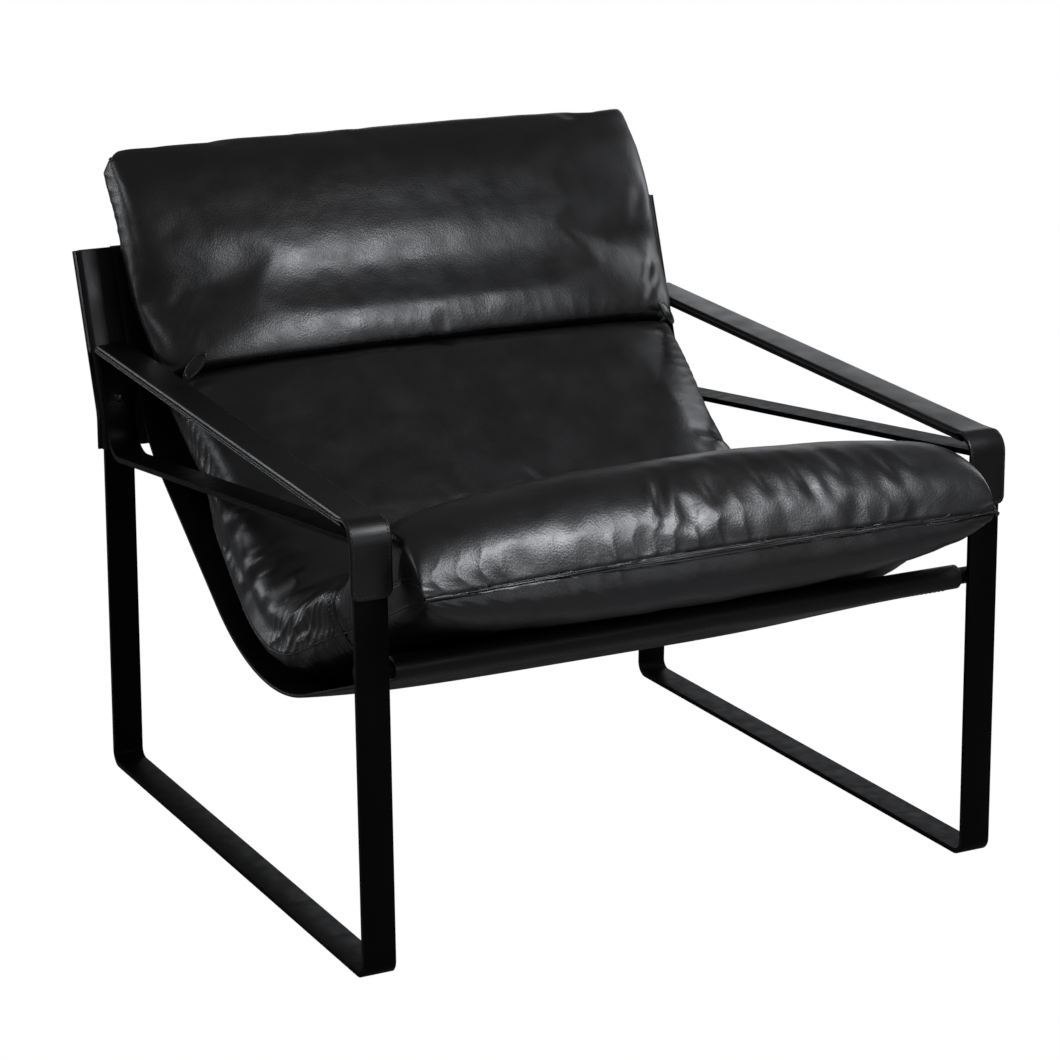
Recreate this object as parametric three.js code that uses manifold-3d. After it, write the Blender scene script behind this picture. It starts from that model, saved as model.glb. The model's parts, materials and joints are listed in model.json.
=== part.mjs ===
// Leather sling lounge chair, in millimetres. X runs across the chair, Y runs towards the back,
// Z is up. The origin is on the floor, under the middle of the whole chair.
import * as THREE from 'three';
import { mergeVertices } from 'three/addons/utils/BufferGeometryUtils.js';
import Module from 'manifold-3d';

const wasm = await Module();
wasm.setup();

// Flat steel bar and the two side frames
const barWidth = 35;
const barThickness = 6;
const frameWidth = 745;
const frameDepth = 733;
const footBendRadius = 14;
const backBendHeight = 430;
const backBendRadius = 50;
const backLean = THREE.MathUtils.degToRad(18.3);
const rearLegLean = THREE.MathUtils.degToRad(2.6);
const uprightAboveBend = 179;
const weldGap = 0.3;
const weldBelowBend = 9.2;

// Arm loops: one more bent bar on each side
const armFrontAboveBend = 36.2;
const armRearAboveBend = 75.5;
const armFrontBendRadius = 17;
const armRearBendRadius = 9;
const lowerBarRearBelowBend = 50.4;
const lowerBarBelowArm = 12.6;
const lowerBarBendRadius = 34;
const lowerBarOverlap = 2;

// Leather, and the fits that keep the pieces apart
const slingLeather = 3.6;
const armLeather = 2;
const armFlangeLeather = 2.35;
const armEdgeOverhang = 4.6;
const armLapLeather = 3.4;
const armLapLength = 71.2;
const armLapCornerRadius = 9;
const armWrapStart = 20;
const leatherFit = 0.3;
const railFit = 0.45;
const padFit = 0.8;
const sectionFit = 0.5;
const mergeDistance = 0.0001;

// Sling and the parts it hangs on
const tubeDiameter = 18;
const tubeHeight = 316;
const tubeEndInset = 6;
const slingSideGap = 7.5;
const slingLowCornerDepth = 1.5;
const slingLowCornerHeight = 175;
const slingLowRadius = 270;
const slingBackCornerBelowBend = 25;
const slingBackRadius = 190;
const slingSag = 11;
const sagFullDepth = -60;
const sagEndDepth = 250;
const sheetSpacing = 34;
const sleeveBelowBend = 40;
const topHemDepth = 52;
const railWidth = 35;
const slitAboveBend = 68;

// Loose pad, measured along the sling and square to it
const padSideGap = 5.5;
const headTopSideGap = 1.5;
const rollSideGap = 9.5;
const rollLength = 222;
const rollChannelBehindTube = 106;
const headChannelAboveBend = 17;
const headOverhang = 101;
const headFlopLean = THREE.MathUtils.degToRad(34);
const headFlopRadius = 150;
const rollCrestThickness = 180;
const rollMiddleThickness = 170;
const rollChannelThickness = 130;
const seatThickness = 122;
const backThickness = 134;
const channelThickness = 148;
const headMiddleThickness = 112;
const headTopThickness = 76;
const edgeFallRoll = 24;
const edgeFallPad = 12;

// Arm screws
const screwAboveBend = 16;
const screwShankDiameter = 6;
const screwShankBehind = 3;
const screwHeadDiameter = 12;
const screwHeadHeight = 3.2;
const screwClearance = 0.3;

// Shares, powers and step counts
const curveStep = THREE.MathUtils.degToRad(5);
const roundSegments = 28;
const holeSegments = 20;
const lapCornerSegments = 5;
const domeSteps = 5;
const sheetAcrossSteps = 12;
const padAlongSteps = 22;
const padAcrossSteps = 24;
const padMiddleShare = 0.46;
const noseMiddleShare = 0.32;
const padSidePower = 6;
const padEndPower = 5;
const headTopPower = 8;
const nosePower = 2.3;
const sagPower = 4;
const channelWallShare = 0.5;
const rollCrestShare = 0.22;
const rollMiddleShare = 0.55;
const headMiddleShare = 0.45;
const backStationShare = 0.62;
const seatStationShare = 0.3;
const noseLiftStartShare = 0.18;

// Places worked out from the sizes above
const halfBar = barThickness / 2;
const legCentre = frameDepth / 2 - halfBar;
const barCentreX = (frameWidth - barWidth) / 2;
const legInnerX = frameWidth / 2 - barWidth;
const uprightTopHeight = backBendHeight + uprightAboveBend;
const armFrontHeight = backBendHeight + armFrontAboveBend;
const armRearHeight = backBendHeight + armRearAboveBend;
const lowerBarFrontHeight = armFrontHeight - lowerBarBelowArm;
const lowerBarRearHeight = backBendHeight - lowerBarRearBelowBend;
const weldHeight = armFrontHeight - armFrontBendRadius - weldBelowBend;
const armLapHeight = armFrontHeight - armLapLength;
const slingBackCornerHeight = backBendHeight - slingBackCornerBelowBend;
const sleeveBottomHeight = backBendHeight - sleeveBelowBend;
const slitTopHeight = backBendHeight + slitAboveBend;
const headChannelHeight = backBendHeight + headChannelAboveBend;
const screwHeight = backBendHeight + screwAboveBend;
const padHalfWidth = legInnerX - padSideGap;
const headTopHalfWidth = legInnerX - headTopSideGap;
const rollHalfWidth = legInnerX - rollSideGap;
const armSlope = (armRearHeight - armFrontHeight) / frameDepth;
const lowerBarSlope = (lowerBarFrontHeight - lowerBarRearHeight) / frameDepth;
const armHeightAt = (y) => armFrontHeight + armSlope * (y + frameDepth / 2);
const lowerBarHeightAt = (y) => lowerBarFrontHeight - lowerBarSlope * (y + frameDepth / 2);
const rearLegDepthAt = (z) => legCentre - Math.tan(rearLegLean) * (z - halfBar);
const backBendDepth = rearLegDepthAt(backBendHeight);
const uprightDepthAt = (z) => backBendDepth + Math.tan(backLean) * (z - backBendHeight);
const leanOffset = (distance) => distance / Math.cos(backLean);
const sheetOffset = halfBar + leatherFit + slingLeather / 2;
const dropOffset = halfBar + leatherFit + slingLeather + leatherFit + halfBar;
const sheetDepthAt = (z) => uprightDepthAt(z) - leanOffset(sheetOffset);
const dropDepthAt = (z) => uprightDepthAt(z) - leanOffset(dropOffset);

const group = new THREE.Group();
group.name = 'leather_sling_lounge_chair';

const point = (y, z) => new THREE.Vector2(y, z);

// Rises smoothly from 0 to 1 as t does, and stays level outside
const smooth = (t) => {
  const c = Math.min(1, Math.max(0, t));
  return c * c * (3 - 2 * c);
};

// A path through corner points, each corner rounded to its radius. Every sample carries the
// direction square to the path, on the left of the way it runs.
function bentPath(corners) {
  const samples = [];
  const add = (position, heading) => {
    samples.push({ position, normal: point(-heading.y, heading.x) });
  };
  const headingBetween = (a, b) => b.at.clone().sub(a.at).normalize();
  add(corners[0].at.clone(), headingBetween(corners[0], corners[1]));
  for (let i = 1; i < corners.length - 1; i += 1) {
    const before = headingBetween(corners[i - 1], corners[i]);
    const after = headingBetween(corners[i], corners[i + 1]);
    const turn = Math.atan2(before.cross(after), before.dot(after));
    const side = Math.sign(turn);
    const radius = corners[i].radius;
    const tangent = radius * Math.tan(Math.abs(turn) / 2);
    const start = corners[i].at.clone().addScaledVector(before, -tangent);
    const centre = start.clone().addScaledVector(point(-before.y, before.x), side * radius);
    const steps = Math.max(2, Math.ceil(Math.abs(turn) / curveStep));
    for (let k = 0; k <= steps; k += 1) {
      const angle = (turn * k) / steps;
      const heading = before.clone().rotateAround(point(0, 0), angle);
      const normal = point(-heading.y, heading.x);
      add(centre.clone().addScaledVector(normal, -side * radius), heading);
    }
  }
  const last = corners.length - 1;
  add(corners[last].at.clone(), headingBetween(corners[last - 1], corners[last]));
  return samples;
}

// The outline of a strip that runs along a path, between two distances square to it.
function stripOutline(path, low, high) {
  const left = path.map((s) => s.position.clone().addScaledVector(s.normal, high));
  const right = path.map((s) => s.position.clone().addScaledVector(s.normal, low));
  return left.concat(right.reverse());
}

// Extrudes an outline drawn in depth and height across the chair, centred on one place in X.
function acrossGeometry(outline, width, centreX, steps) {
  const shape = new THREE.Shape(outline);
  const geometry = new THREE.ExtrudeGeometry(shape, { depth: width, steps, bevelEnabled: false });
  geometry.translate(0, 0, -width / 2);
  const turn = new THREE.Matrix4().makeBasis(
    new THREE.Vector3(0, 1, 0),
    new THREE.Vector3(0, 0, 1),
    new THREE.Vector3(1, 0, 0),
  );
  geometry.applyMatrix4(turn);
  geometry.translate(centreX, 0, 0);
  return geometry;
}

const acrossSolid = (outline, width, centreX) => toSolid(acrossGeometry(outline, width, centreX, 1));

function toSolid(geometry) {
  const bare = geometry.clone();
  bare.deleteAttribute('normal');
  bare.deleteAttribute('uv');
  const merged = mergeVertices(bare, mergeDistance);
  return new wasm.Manifold(new wasm.Mesh({
    numProp: 3,
    vertProperties: new Float32Array(merged.attributes.position.array),
    triVerts: new Uint32Array(merged.index.array),
  }));
}

function toGeometry(solid) {
  const mesh = solid.getMesh();
  const geometry = new THREE.BufferGeometry();
  geometry.setAttribute('position', new THREE.BufferAttribute(new Float32Array(mesh.vertProperties), 3));
  geometry.setIndex(new THREE.BufferAttribute(new Uint32Array(mesh.triVerts), 1));
  const flat = geometry.toNonIndexed();
  flat.computeVertexNormals();
  return flat;
}

// A round bar along X, or along any direction when one is given.
function roundBar(radius, length, centre, direction, segments) {
  const geometry = new THREE.CylinderGeometry(radius, radius, length, segments);
  const turn = new THREE.Quaternion().setFromUnitVectors(new THREE.Vector3(0, 1, 0), direction);
  geometry.applyQuaternion(turn);
  geometry.translate(centre.x, centre.y, centre.z);
  return toSolid(geometry);
}

function material(colour, roughness, metalness) {
  return new THREE.MeshStandardMaterial({ color: colour, roughness, metalness });
}

const coatedSteel = () => material(0x1a1a1b, 0.55, 0.4);
const padLeather = () => material(0x232224, 0.38, 0);
const strapLeather = () => material(0x1d1c1e, 0.45, 0);
const darkScrew = () => material(0x2a2a2c, 0.35, 0.8);

function addPiece(name, solid, makeMaterial) {
  const mesh = new THREE.Mesh(toGeometry(solid), makeMaterial());
  mesh.name = name;
  group.add(mesh);
}

// Places that both sides share
const acrossX = new THREE.Vector3(1, 0, 0);
const tubeDepth = -frameDepth / 2 + barThickness + weldGap + tubeDiameter / 2;
const tubeCentre = new THREE.Vector3(0, tubeDepth, tubeHeight);
const screwAxis = new THREE.Vector3(0, -Math.cos(backLean), Math.sin(backLean));
const screwCentre = (centreX) => new THREE.Vector3(centreX, uprightDepthAt(screwHeight), screwHeight);

// Leg frame: one bent bar from the top of the upright, down the rear leg, along the floor
// and up the front leg to the weld under the arm
const legFramePath = bentPath([
  { at: point(uprightDepthAt(uprightTopHeight), uprightTopHeight) },
  { at: point(backBendDepth, backBendHeight), radius: backBendRadius },
  { at: point(legCentre, halfBar), radius: footBendRadius },
  { at: point(-legCentre, halfBar), radius: footBendRadius },
  { at: point(-legCentre, weldHeight) },
]);

function screwHole(centreX, depth) {
  const radius = screwShankDiameter / 2 + screwClearance;
  return roundBar(radius, depth, screwCentre(centreX), screwAxis, holeSegments);
}

const holeDepth = 4 * dropOffset;

function legFrame(centreX) {
  const bar = acrossSolid(stripOutline(legFramePath, -halfBar, halfBar), barWidth, centreX);
  return bar.subtract(screwHole(centreX, holeDepth));
}

// Where a line in front of the upright meets the line in front of the rear leg, both as far off
function backBendBeside(offset) {
  const halfTurn = (backLean + rearLegLean) / 2;
  const heading = backLean - halfTurn;
  const reach = offset / Math.cos(halfTurn);
  const square = point(-Math.cos(heading), Math.sin(heading));
  return point(backBendDepth, backBendHeight).addScaledVector(square, reach);
}

// Arm loop: one bent bar from the weld, round the front corner, back along the arm, down in
// front of the upright and forward again to the front leg
const armRearDepth = dropDepthAt(armRearHeight);
const lowerBarRearDepth = rearLegDepthAt(lowerBarRearHeight) - dropOffset / Math.cos(rearLegLean);
const lowerBarEndDepth = halfBar - legCentre;
const armLoopPath = bentPath([
  { at: point(-legCentre, weldHeight + weldGap) },
  { at: point(-legCentre, armHeightAt(-legCentre)), radius: armFrontBendRadius },
  { at: point(armRearDepth, armHeightAt(armRearDepth)), radius: armRearBendRadius },
  { at: backBendBeside(dropOffset), radius: backBendRadius + dropOffset },
  { at: point(lowerBarRearDepth, lowerBarHeightAt(lowerBarRearDepth)), radius: lowerBarBendRadius },
  { at: point(lowerBarEndDepth - lowerBarOverlap, lowerBarHeightAt(lowerBarEndDepth)) },
]);

function armLoop(centreX) {
  const bend = armLoopPath.slice(0, armLoopPath.length - 1);
  const end = armLoopPath.slice(armLoopPath.length - 2);
  const main = acrossSolid(stripOutline(bend, -halfBar, halfBar), barWidth, centreX);
  const tail = acrossSolid(stripOutline(end, -halfBar, halfBar), barWidth, centreX);
  return main.add(tail).subtract(screwHole(centreX, holeDepth));
}

// Leather on the arm: a top strap and an under strap stitched together past both edges of the
// bar. The top strap runs on round the front corner and down the leg as a lap.
const strapWidth = barWidth + 2 * armEdgeOverhang;
const armCover = halfBar + leatherFit + armLeather;
const strapStart = armWrapStart - frameDepth / 2;
const lapEnd = strapStart + armWrapStart;
const strapEnd = armRearDepth - armRearBendRadius;
const strapPath = bentPath([
  { at: point(strapStart, armHeightAt(strapStart)) },
  { at: point(strapEnd, armHeightAt(strapEnd)) },
]);
const armLapPath = bentPath([
  { at: point(-legCentre, armLapHeight) },
  { at: point(-legCentre, armHeightAt(-legCentre)), radius: armFrontBendRadius },
  { at: point(lapEnd, armHeightAt(lapEnd)) },
]);

// A tall block with a rounded lower end, as wide as the strap, that trims the end of the lap
function roundedLapEnd(centreX) {
  const half = strapWidth / 2;
  const corner = half - armLapCornerRadius;
  const cornerHeight = armLapHeight + armLapCornerRadius;
  const top = 2 * armFrontHeight;
  const shape = new THREE.Shape();
  shape.moveTo(-half, top);
  shape.lineTo(-half, cornerHeight);
  shape.absarc(-corner, cornerHeight, armLapCornerRadius, Math.PI, 1.5 * Math.PI, false);
  shape.absarc(corner, cornerHeight, armLapCornerRadius, 1.5 * Math.PI, 2 * Math.PI, false);
  shape.lineTo(half, top);
  const geometry = new THREE.ExtrudeGeometry(shape, {
    depth: 2 * frameDepth,
    bevelEnabled: false,
    curveSegments: lapCornerSegments,
  });
  geometry.rotateX(Math.PI / 2);
  geometry.translate(centreX, frameDepth, 0);
  return toSolid(geometry);
}

// The space that the bar takes inside the straps
function strapBore(centreX) {
  const reach = halfBar + leatherFit;
  return acrossSolid(stripOutline(armLoopPath, -reach, reach), barWidth + 2 * leatherFit, centreX);
}

// One strap on its side of the seam: side is 1 for the top strap and -1 for the under strap
function strapHalf(centreX, side) {
  const seam = side * (leatherFit / 2);
  const flange = stripOutline(strapPath, seam, seam + side * armFlangeLeather);
  const cover = stripOutline(strapPath, seam, side * armCover);
  const edges = acrossSolid(flange, strapWidth, centreX);
  return edges.add(acrossSolid(cover, barWidth + 2 * armLeather, centreX));
}

function topStrap(centreX) {
  const lapLow = halfBar + leatherFit;
  const lap = acrossSolid(stripOutline(armLapPath, lapLow, lapLow + armLapLeather), strapWidth, centreX);
  const strap = strapHalf(centreX, 1).add(lap.intersect(roundedLapEnd(centreX)));
  return strap.subtract(strapBore(centreX));
}

function underStrap(centreX) {
  return strapHalf(centreX, -1).subtract(strapBore(centreX));
}

// Front cross tube behind the two front legs, and the flat rail between the uprights
function crossTube() {
  const length = frameWidth - 2 * tubeEndInset;
  return roundBar(tubeDiameter / 2, length, tubeCentre, acrossX, roundSegments);
}

const uprightHeading = point(Math.sin(backLean), Math.cos(backLean));
const uprightTop = point(uprightDepthAt(uprightTopHeight), uprightTopHeight);
const alongUpright = (distanceDown) => uprightTop.clone().addScaledVector(uprightHeading, -distanceDown);

function topRail() {
  const path = bentPath([{ at: alongUpright(0) }, { at: alongUpright(railWidth) }]);
  return acrossSolid(stripOutline(path, -halfBar, halfBar), 2 * (legInnerX - weldGap), 0);
}

// Sling: one sheet from the rail down the back, under the seat and up round the front tube,
// with sleeves sewn round both uprights and a hem over the rail
const hemInner = tubeDiameter / 2 + leatherFit;
const hemOuter = hemInner + slingLeather;
const hemMiddle = hemInner + slingLeather / 2;
const slingHalfWidth = legInnerX - slingSideGap;
const sagStartDepth = tubeDepth + hemOuter;

function slingPathCorners() {
  // The front run is tangent to the underside of the hem round the tube
  const low = point(slingLowCornerDepth, slingLowCornerHeight);
  const tube = point(tubeDepth, tubeHeight);
  const reach = tube.clone().sub(low);
  const fall = Math.asin(hemMiddle / reach.length());
  const heading = reach.clone().normalize().rotateAround(point(0, 0), fall);
  const touch = tube.clone().addScaledVector(point(heading.y, -heading.x), -hemMiddle);
  return [
    { at: touch },
    { at: low, radius: slingLowRadius },
    { at: point(sheetDepthAt(slingBackCornerHeight), slingBackCornerHeight), radius: slingBackRadius },
    { at: alongUpright(topHemDepth / 2).add(point(-leanOffset(sheetOffset), 0)) },
  ];
}

// How far the sheet sags between its two side edges, at a place under the seat
function sagAt(x, y) {
  const acrossShare = 1 - Math.min(1, Math.abs(x) / slingHalfWidth) ** sagPower;
  const frontShare = smooth((y - sagStartDepth) / (sagFullDepth - sagStartDepth));
  const backShare = smooth((sagEndDepth - y) / (sagEndDepth - sagFullDepth));
  return slingSag * acrossShare * Math.min(frontShare, backShare);
}

// Adds samples to the straight runs of a path, so that the sag can bend them
function denserPath(path) {
  const samples = [path[0]];
  for (let i = 1; i < path.length; i += 1) {
    const from = path[i - 1];
    const to = path[i];
    const parts = Math.ceil(from.position.distanceTo(to.position) / sheetSpacing);
    for (let k = 1; k <= parts; k += 1) {
      const position = from.position.clone().lerp(to.position, k / parts);
      samples.push({ position, normal: k < parts ? from.normal : to.normal });
    }
  }
  return samples;
}

function seatSheet() {
  const path = denserPath(bentPath(slingPathCorners()));
  const outline = stripOutline(path, -slingLeather / 2, slingLeather / 2);
  const geometry = acrossGeometry(outline, 2 * slingHalfWidth, 0, sheetAcrossSteps);
  const position = geometry.attributes.position;
  for (let i = 0; i < position.count; i += 1) {
    position.setZ(i, position.getZ(i) - sagAt(position.getX(i), position.getY(i)));
  }
  return toSolid(geometry);
}

// A path down the line of the upright, bent as the upright is, from a place at or past its top
const uprightPath = (top, bottomHeight) => bentPath([
  { at: top },
  { at: point(backBendDepth, backBendHeight), radius: backBendRadius },
  { at: point(rearLegDepthAt(bottomHeight), bottomHeight) },
]);

// The back of the sling: sleeves round both uprights, and the hem over the rail between them
function slingBack() {
  const pocket = halfBar + leatherFit;
  const cover = pocket + slingLeather;
  const fullWidth = frameWidth + 2 * (leatherFit + slingLeather);
  const innerWidth = 2 * (legInnerX - leatherFit - slingLeather);
  const envelope = uprightPath(alongUpright(-leatherFit - slingLeather), sleeveBottomHeight);
  const underHem = uprightPath(alongUpright(topHemDepth), 0);
  const slitTop = point(uprightDepthAt(slitTopHeight), slitTopHeight);
  const slit = uprightPath(slitTop, 0);
  const pocketPath = uprightPath(alongUpright(-leatherFit), 0);
  const railPath = bentPath([{ at: alongUpright(-railFit) }, { at: alongUpright(railWidth + railFit) }]);
  const railReach = halfBar + railFit;
  let back = acrossSolid(stripOutline(envelope, -cover, cover), fullWidth, 0);
  back = back.subtract(acrossSolid(stripOutline(underHem, -pocket, 2 * cover), innerWidth, 0));
  back = back.subtract(acrossSolid(stripOutline(slit, -2 * cover, 2 * cover), innerWidth, 0));
  for (const sign of [-1, 1]) {
    const outline = stripOutline(pocketPath, -pocket, pocket);
    back = back.subtract(acrossSolid(outline, barWidth + 2 * leatherFit, sign * barCentreX));
  }
  const railPocket = stripOutline(railPath, -railReach, railReach);
  return back.subtract(acrossSolid(railPocket, frameWidth - barWidth, 0));
}

function sling() {
  const hem = roundBar(hemOuter, 2 * slingHalfWidth, tubeCentre, acrossX, roundSegments);
  const boreRadius = hemInner / Math.cos(Math.PI / roundSegments);
  const bore = roundBar(boreRadius, frameWidth, tubeCentre, acrossX, roundSegments);
  let solid = slingBack().add(seatSheet()).add(hem).subtract(bore);
  for (const sign of [-1, 1]) {
    solid = solid.subtract(screwHole(sign * barCentreX, holeDepth));
  }
  return solid;
}

// Dome-headed screw through the arm loop, the sleeve and the upright
function armScrew(centreX) {
  const shankLength = dropOffset + halfBar + screwShankBehind;
  const dropFace = dropOffset + halfBar + screwClearance;
  const faceCentre = screwCentre(centreX).addScaledVector(screwAxis, dropFace);
  const shankCentre = screwCentre(centreX).addScaledVector(screwAxis, dropFace - shankLength / 2);
  const shank = roundBar(screwShankDiameter / 2, shankLength, shankCentre, screwAxis, holeSegments);
  const radius = screwHeadDiameter / 2;
  const profile = [point(0, 0), point(radius, 0)];
  for (let k = 1; k <= domeSteps; k += 1) {
    const angle = (k / domeSteps) * (Math.PI / 2);
    const reach = k === domeSteps ? 0 : radius * Math.cos(angle);
    profile.push(point(reach, screwHeadHeight * Math.sin(angle)));
  }
  const dome = new THREE.LatheGeometry(profile, holeSegments);
  dome.applyQuaternion(new THREE.Quaternion().setFromUnitVectors(new THREE.Vector3(0, 1, 0), screwAxis));
  dome.translate(faceCentre.x, faceCentre.y, faceCentre.z);
  return shank.add(toSolid(dome));
}

// Loose pad. Its rest line follows the sling from under the roll to the top of the back, then
// flops back over the rail. A section is given by heights square to that line.
function restCorners() {
  const inner = slingLeather / 2 + padFit;
  const corners = slingPathCorners();
  const shifted = [];
  const front = corners[1].at.clone().sub(corners[0].at).normalize();
  const middle = corners[2].at.clone().sub(corners[1].at).normalize();
  const back = uprightHeading;
  const lift = (heading) => point(-heading.y, heading.x).multiplyScalar(inner);
  const cross = (p, d, q, e) => {
    // Where the line through p along d meets the line through q along e
    const gap = q.clone().sub(p);
    return p.clone().addScaledVector(d, gap.cross(e) / d.cross(e));
  };
  const onFront = corners[0].at.clone().add(lift(front));
  const onMiddle = corners[1].at.clone().add(lift(middle));
  const onBack = corners[3].at.clone().add(lift(back));
  shifted.push({ at: onFront.clone().addScaledVector(front, -rollLength) });
  shifted.push({ at: cross(onFront, front, onMiddle, middle), radius: slingLowRadius - inner });
  shifted.push({ at: cross(onMiddle, middle, onBack, back), radius: slingBackRadius - inner });
  const flop = point(Math.sin(headFlopLean), Math.cos(headFlopLean));
  const flopTangent = headFlopRadius * Math.tan((headFlopLean - backLean) / 2);
  const topOfBack = onBack.clone().addScaledVector(back, topHemDepth / 2 + 2 * slingLeather + flopTangent);
  shifted.push({ at: topOfBack, radius: headFlopRadius });
  shifted.push({ at: topOfBack.clone().addScaledVector(flop, 2 * headOverhang) });
  return shifted;
}

const restLine = bentPath(restCorners());
const restLengths = [0];
for (let i = 1; i < restLine.length; i += 1) {
  restLengths.push(restLengths[i - 1] + restLine[i].position.distanceTo(restLine[i - 1].position));
}

function restAt(length) {
  let i = 1;
  while (i < restLine.length - 1 && restLengths[i] < length) i += 1;
  const t = (length - restLengths[i - 1]) / (restLengths[i] - restLengths[i - 1]);
  const position = restLine[i - 1].position.clone().lerp(restLine[i].position, t);
  const normal = restLine[i - 1].normal.clone().lerp(restLine[i].normal, t).normalize();
  return { position, normal };
}

// The length along the rest line where a depth or a height is reached
function lengthWhere(test) {
  const step = padFit;
  let length = 0;
  while (!test(restAt(length).position)) length += step;
  return length;
}

const rollChannelDepth = tubeDepth + rollChannelBehindTube;
const rollChannelAt = lengthWhere((p) => p.y > 0 && p.x > rollChannelDepth);
const rollNoseAt = rollChannelAt - rollLength;
const headChannelAt = lengthWhere((p) => p.x > 0 && p.y > headChannelHeight);
const backTopAt = lengthWhere((p) => p.x > 0 && p.y > uprightTopHeight);
const headTopAt = backTopAt + headOverhang;

// How much of its full height a soft end keeps at a share of the way out to its edge
const roundness = (share, power) => (1 - Math.abs(share) ** power) ** (1 / power);

// Thickness of the pad at a length, through named stations joined smoothly
function stationHeight(stations, length) {
  let i = 0;
  while (i < stations.length - 2 && stations[i + 1].at < length) i += 1;
  const a = stations[i];
  const b = stations[i + 1];
  return a.height + (b.height - a.height) * smooth((length - a.at) / (b.at - a.at));
}

function padSection(options) {
  const { from, to, stations, edgeFall, lift, widthAt, startMiddle } = options;
  const { startPower, endPower, startWall, endWall } = options;
  const rows = padAlongSteps;
  const columns = padAcrossSteps;
  const positions = [];
  const index = [];
  const middle = (from + to) / 2;
  const half = (to - from) / 2;
  for (let sheet = 0; sheet < 2; sheet += 1) {
    for (let i = 0; i <= rows; i += 1) {
      const turn = Math.PI * (1 - i / rows);
      const power = i * 2 < rows ? startPower : endPower;
      const wall = i * 2 < rows ? startWall : endWall;
      const along = Math.cos(turn);
      const alongFullness = wall + (1 - wall) * roundness(along, power);
      const length = middle + half * along;
      const rest = restAt(length);
      for (let j = 0; j <= columns; j += 1) {
        const swing = Math.PI * (1 - j / columns);
        const across = Math.cos(swing);
        const acrossFullness = j === 0 || j === columns ? 0 : roundness(across, padSidePower);
        const thickness = stationHeight(stations, length) - edgeFall * across * across;
        const base = lift(length);
        const middleShare = startMiddle + (padMiddleShare - startMiddle) * smooth(i / rows);
        const waist = base + (thickness - base) * middleShare;
        const fullness = (i === 0 || i === rows ? wall : alongFullness) * acrossFullness;
        const face = sheet === 0 ? thickness : base;
        const height = waist + (face - waist) * fullness;
        const place = rest.position.clone().addScaledVector(rest.normal, height);
        const x = widthAt(length) * across;
        positions.push(x, place.x, place.y - sagAt(x, rest.position.x));
      }
    }
  }
  const stride = columns + 1;
  const sheetStart = (rows + 1) * stride;
  const at = (sheet, i, j) => sheet * sheetStart + i * stride + j;
  const quad = (a, b, c, d) => index.push(a, b, c, a, c, d);
  for (let i = 0; i < rows; i += 1) {
    for (let j = 0; j < columns; j += 1) {
      quad(at(0, i, j), at(0, i, j + 1), at(0, i + 1, j + 1), at(0, i + 1, j));
      quad(at(1, i, j), at(1, i + 1, j), at(1, i + 1, j + 1), at(1, i, j + 1));
    }
  }
  for (let j = 0; j < columns; j += 1) {
    quad(at(0, 0, j), at(1, 0, j), at(1, 0, j + 1), at(0, 0, j + 1));
    quad(at(0, rows, j), at(0, rows, j + 1), at(1, rows, j + 1), at(1, rows, j));
  }
  const geometry = new THREE.BufferGeometry();
  geometry.setAttribute('position', new THREE.Float32BufferAttribute(positions, 3));
  geometry.setIndex(index);
  return geometry;
}

// Drops the flat faces that a rounded end leaves, then makes the section a solid
function padSolid(options) {
  const merged = mergeVertices(padSection(options), mergeDistance);
  const from = merged.index.array;
  const kept = [];
  for (let i = 0; i < from.length; i += 3) {
    const [a, b, c] = [from[i], from[i + 1], from[i + 2]];
    if (a !== b && b !== c && c !== a) kept.push(a, b, c);
  }
  merged.setIndex(kept);
  return toSolid(merged);
}

const noseLift = hemMiddle + hemOuter - slingLeather / 2;
const noLift = () => 0;
const liftUnderNose = (length) => {
  const onTube = rollLiftAt();
  const start = rollChannelAt - rollLength * noseLiftStartShare;
  return noseLift * smooth((start - length) / (start - onTube));
};

// The length at which the pad passes over the hem of the front tube
function rollLiftAt() {
  return lengthWhere((p) => p.x > tubeDepth + hemOuter / 2);
}

const rollStations = [
  { at: rollNoseAt, height: rollCrestThickness },
  { at: rollNoseAt + rollLength * rollCrestShare, height: rollCrestThickness },
  { at: rollNoseAt + rollLength * rollMiddleShare, height: rollMiddleThickness },
  { at: rollChannelAt, height: rollChannelThickness },
];
const seatStations = [
  { at: rollChannelAt, height: rollChannelThickness },
  { at: rollChannelAt + (headChannelAt - rollChannelAt) * seatStationShare, height: seatThickness },
  { at: rollChannelAt + (headChannelAt - rollChannelAt) * backStationShare, height: backThickness },
  { at: headChannelAt, height: channelThickness },
];
const headStations = [
  { at: headChannelAt, height: channelThickness },
  { at: headChannelAt + (headTopAt - headChannelAt) * headMiddleShare, height: headMiddleThickness },
  { at: headTopAt, height: headTopThickness },
];

function frontRoll() {
  return padSolid({
    from: rollNoseAt,
    to: rollChannelAt - sectionFit / 2,
    stations: rollStations,
    edgeFall: edgeFallRoll,
    startPower: nosePower,
    endPower: padEndPower,
    startWall: 0,
    endWall: channelWallShare,
    lift: liftUnderNose,
    startMiddle: noseMiddleShare,
    widthAt: () => rollHalfWidth,
  });
}

function seatSection() {
  return padSolid({
    from: rollChannelAt + sectionFit / 2,
    to: headChannelAt - sectionFit / 2,
    stations: seatStations,
    edgeFall: edgeFallPad,
    startPower: padEndPower,
    endPower: padEndPower,
    startWall: channelWallShare,
    endWall: channelWallShare,
    lift: noLift,
    startMiddle: padMiddleShare,
    widthAt: () => padHalfWidth,
  });
}

const headWidthAt = (length) => {
  const share = smooth((length - headChannelAt) / (headTopAt - headChannelAt));
  return padHalfWidth + (headTopHalfWidth - padHalfWidth) * share;
};

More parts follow.
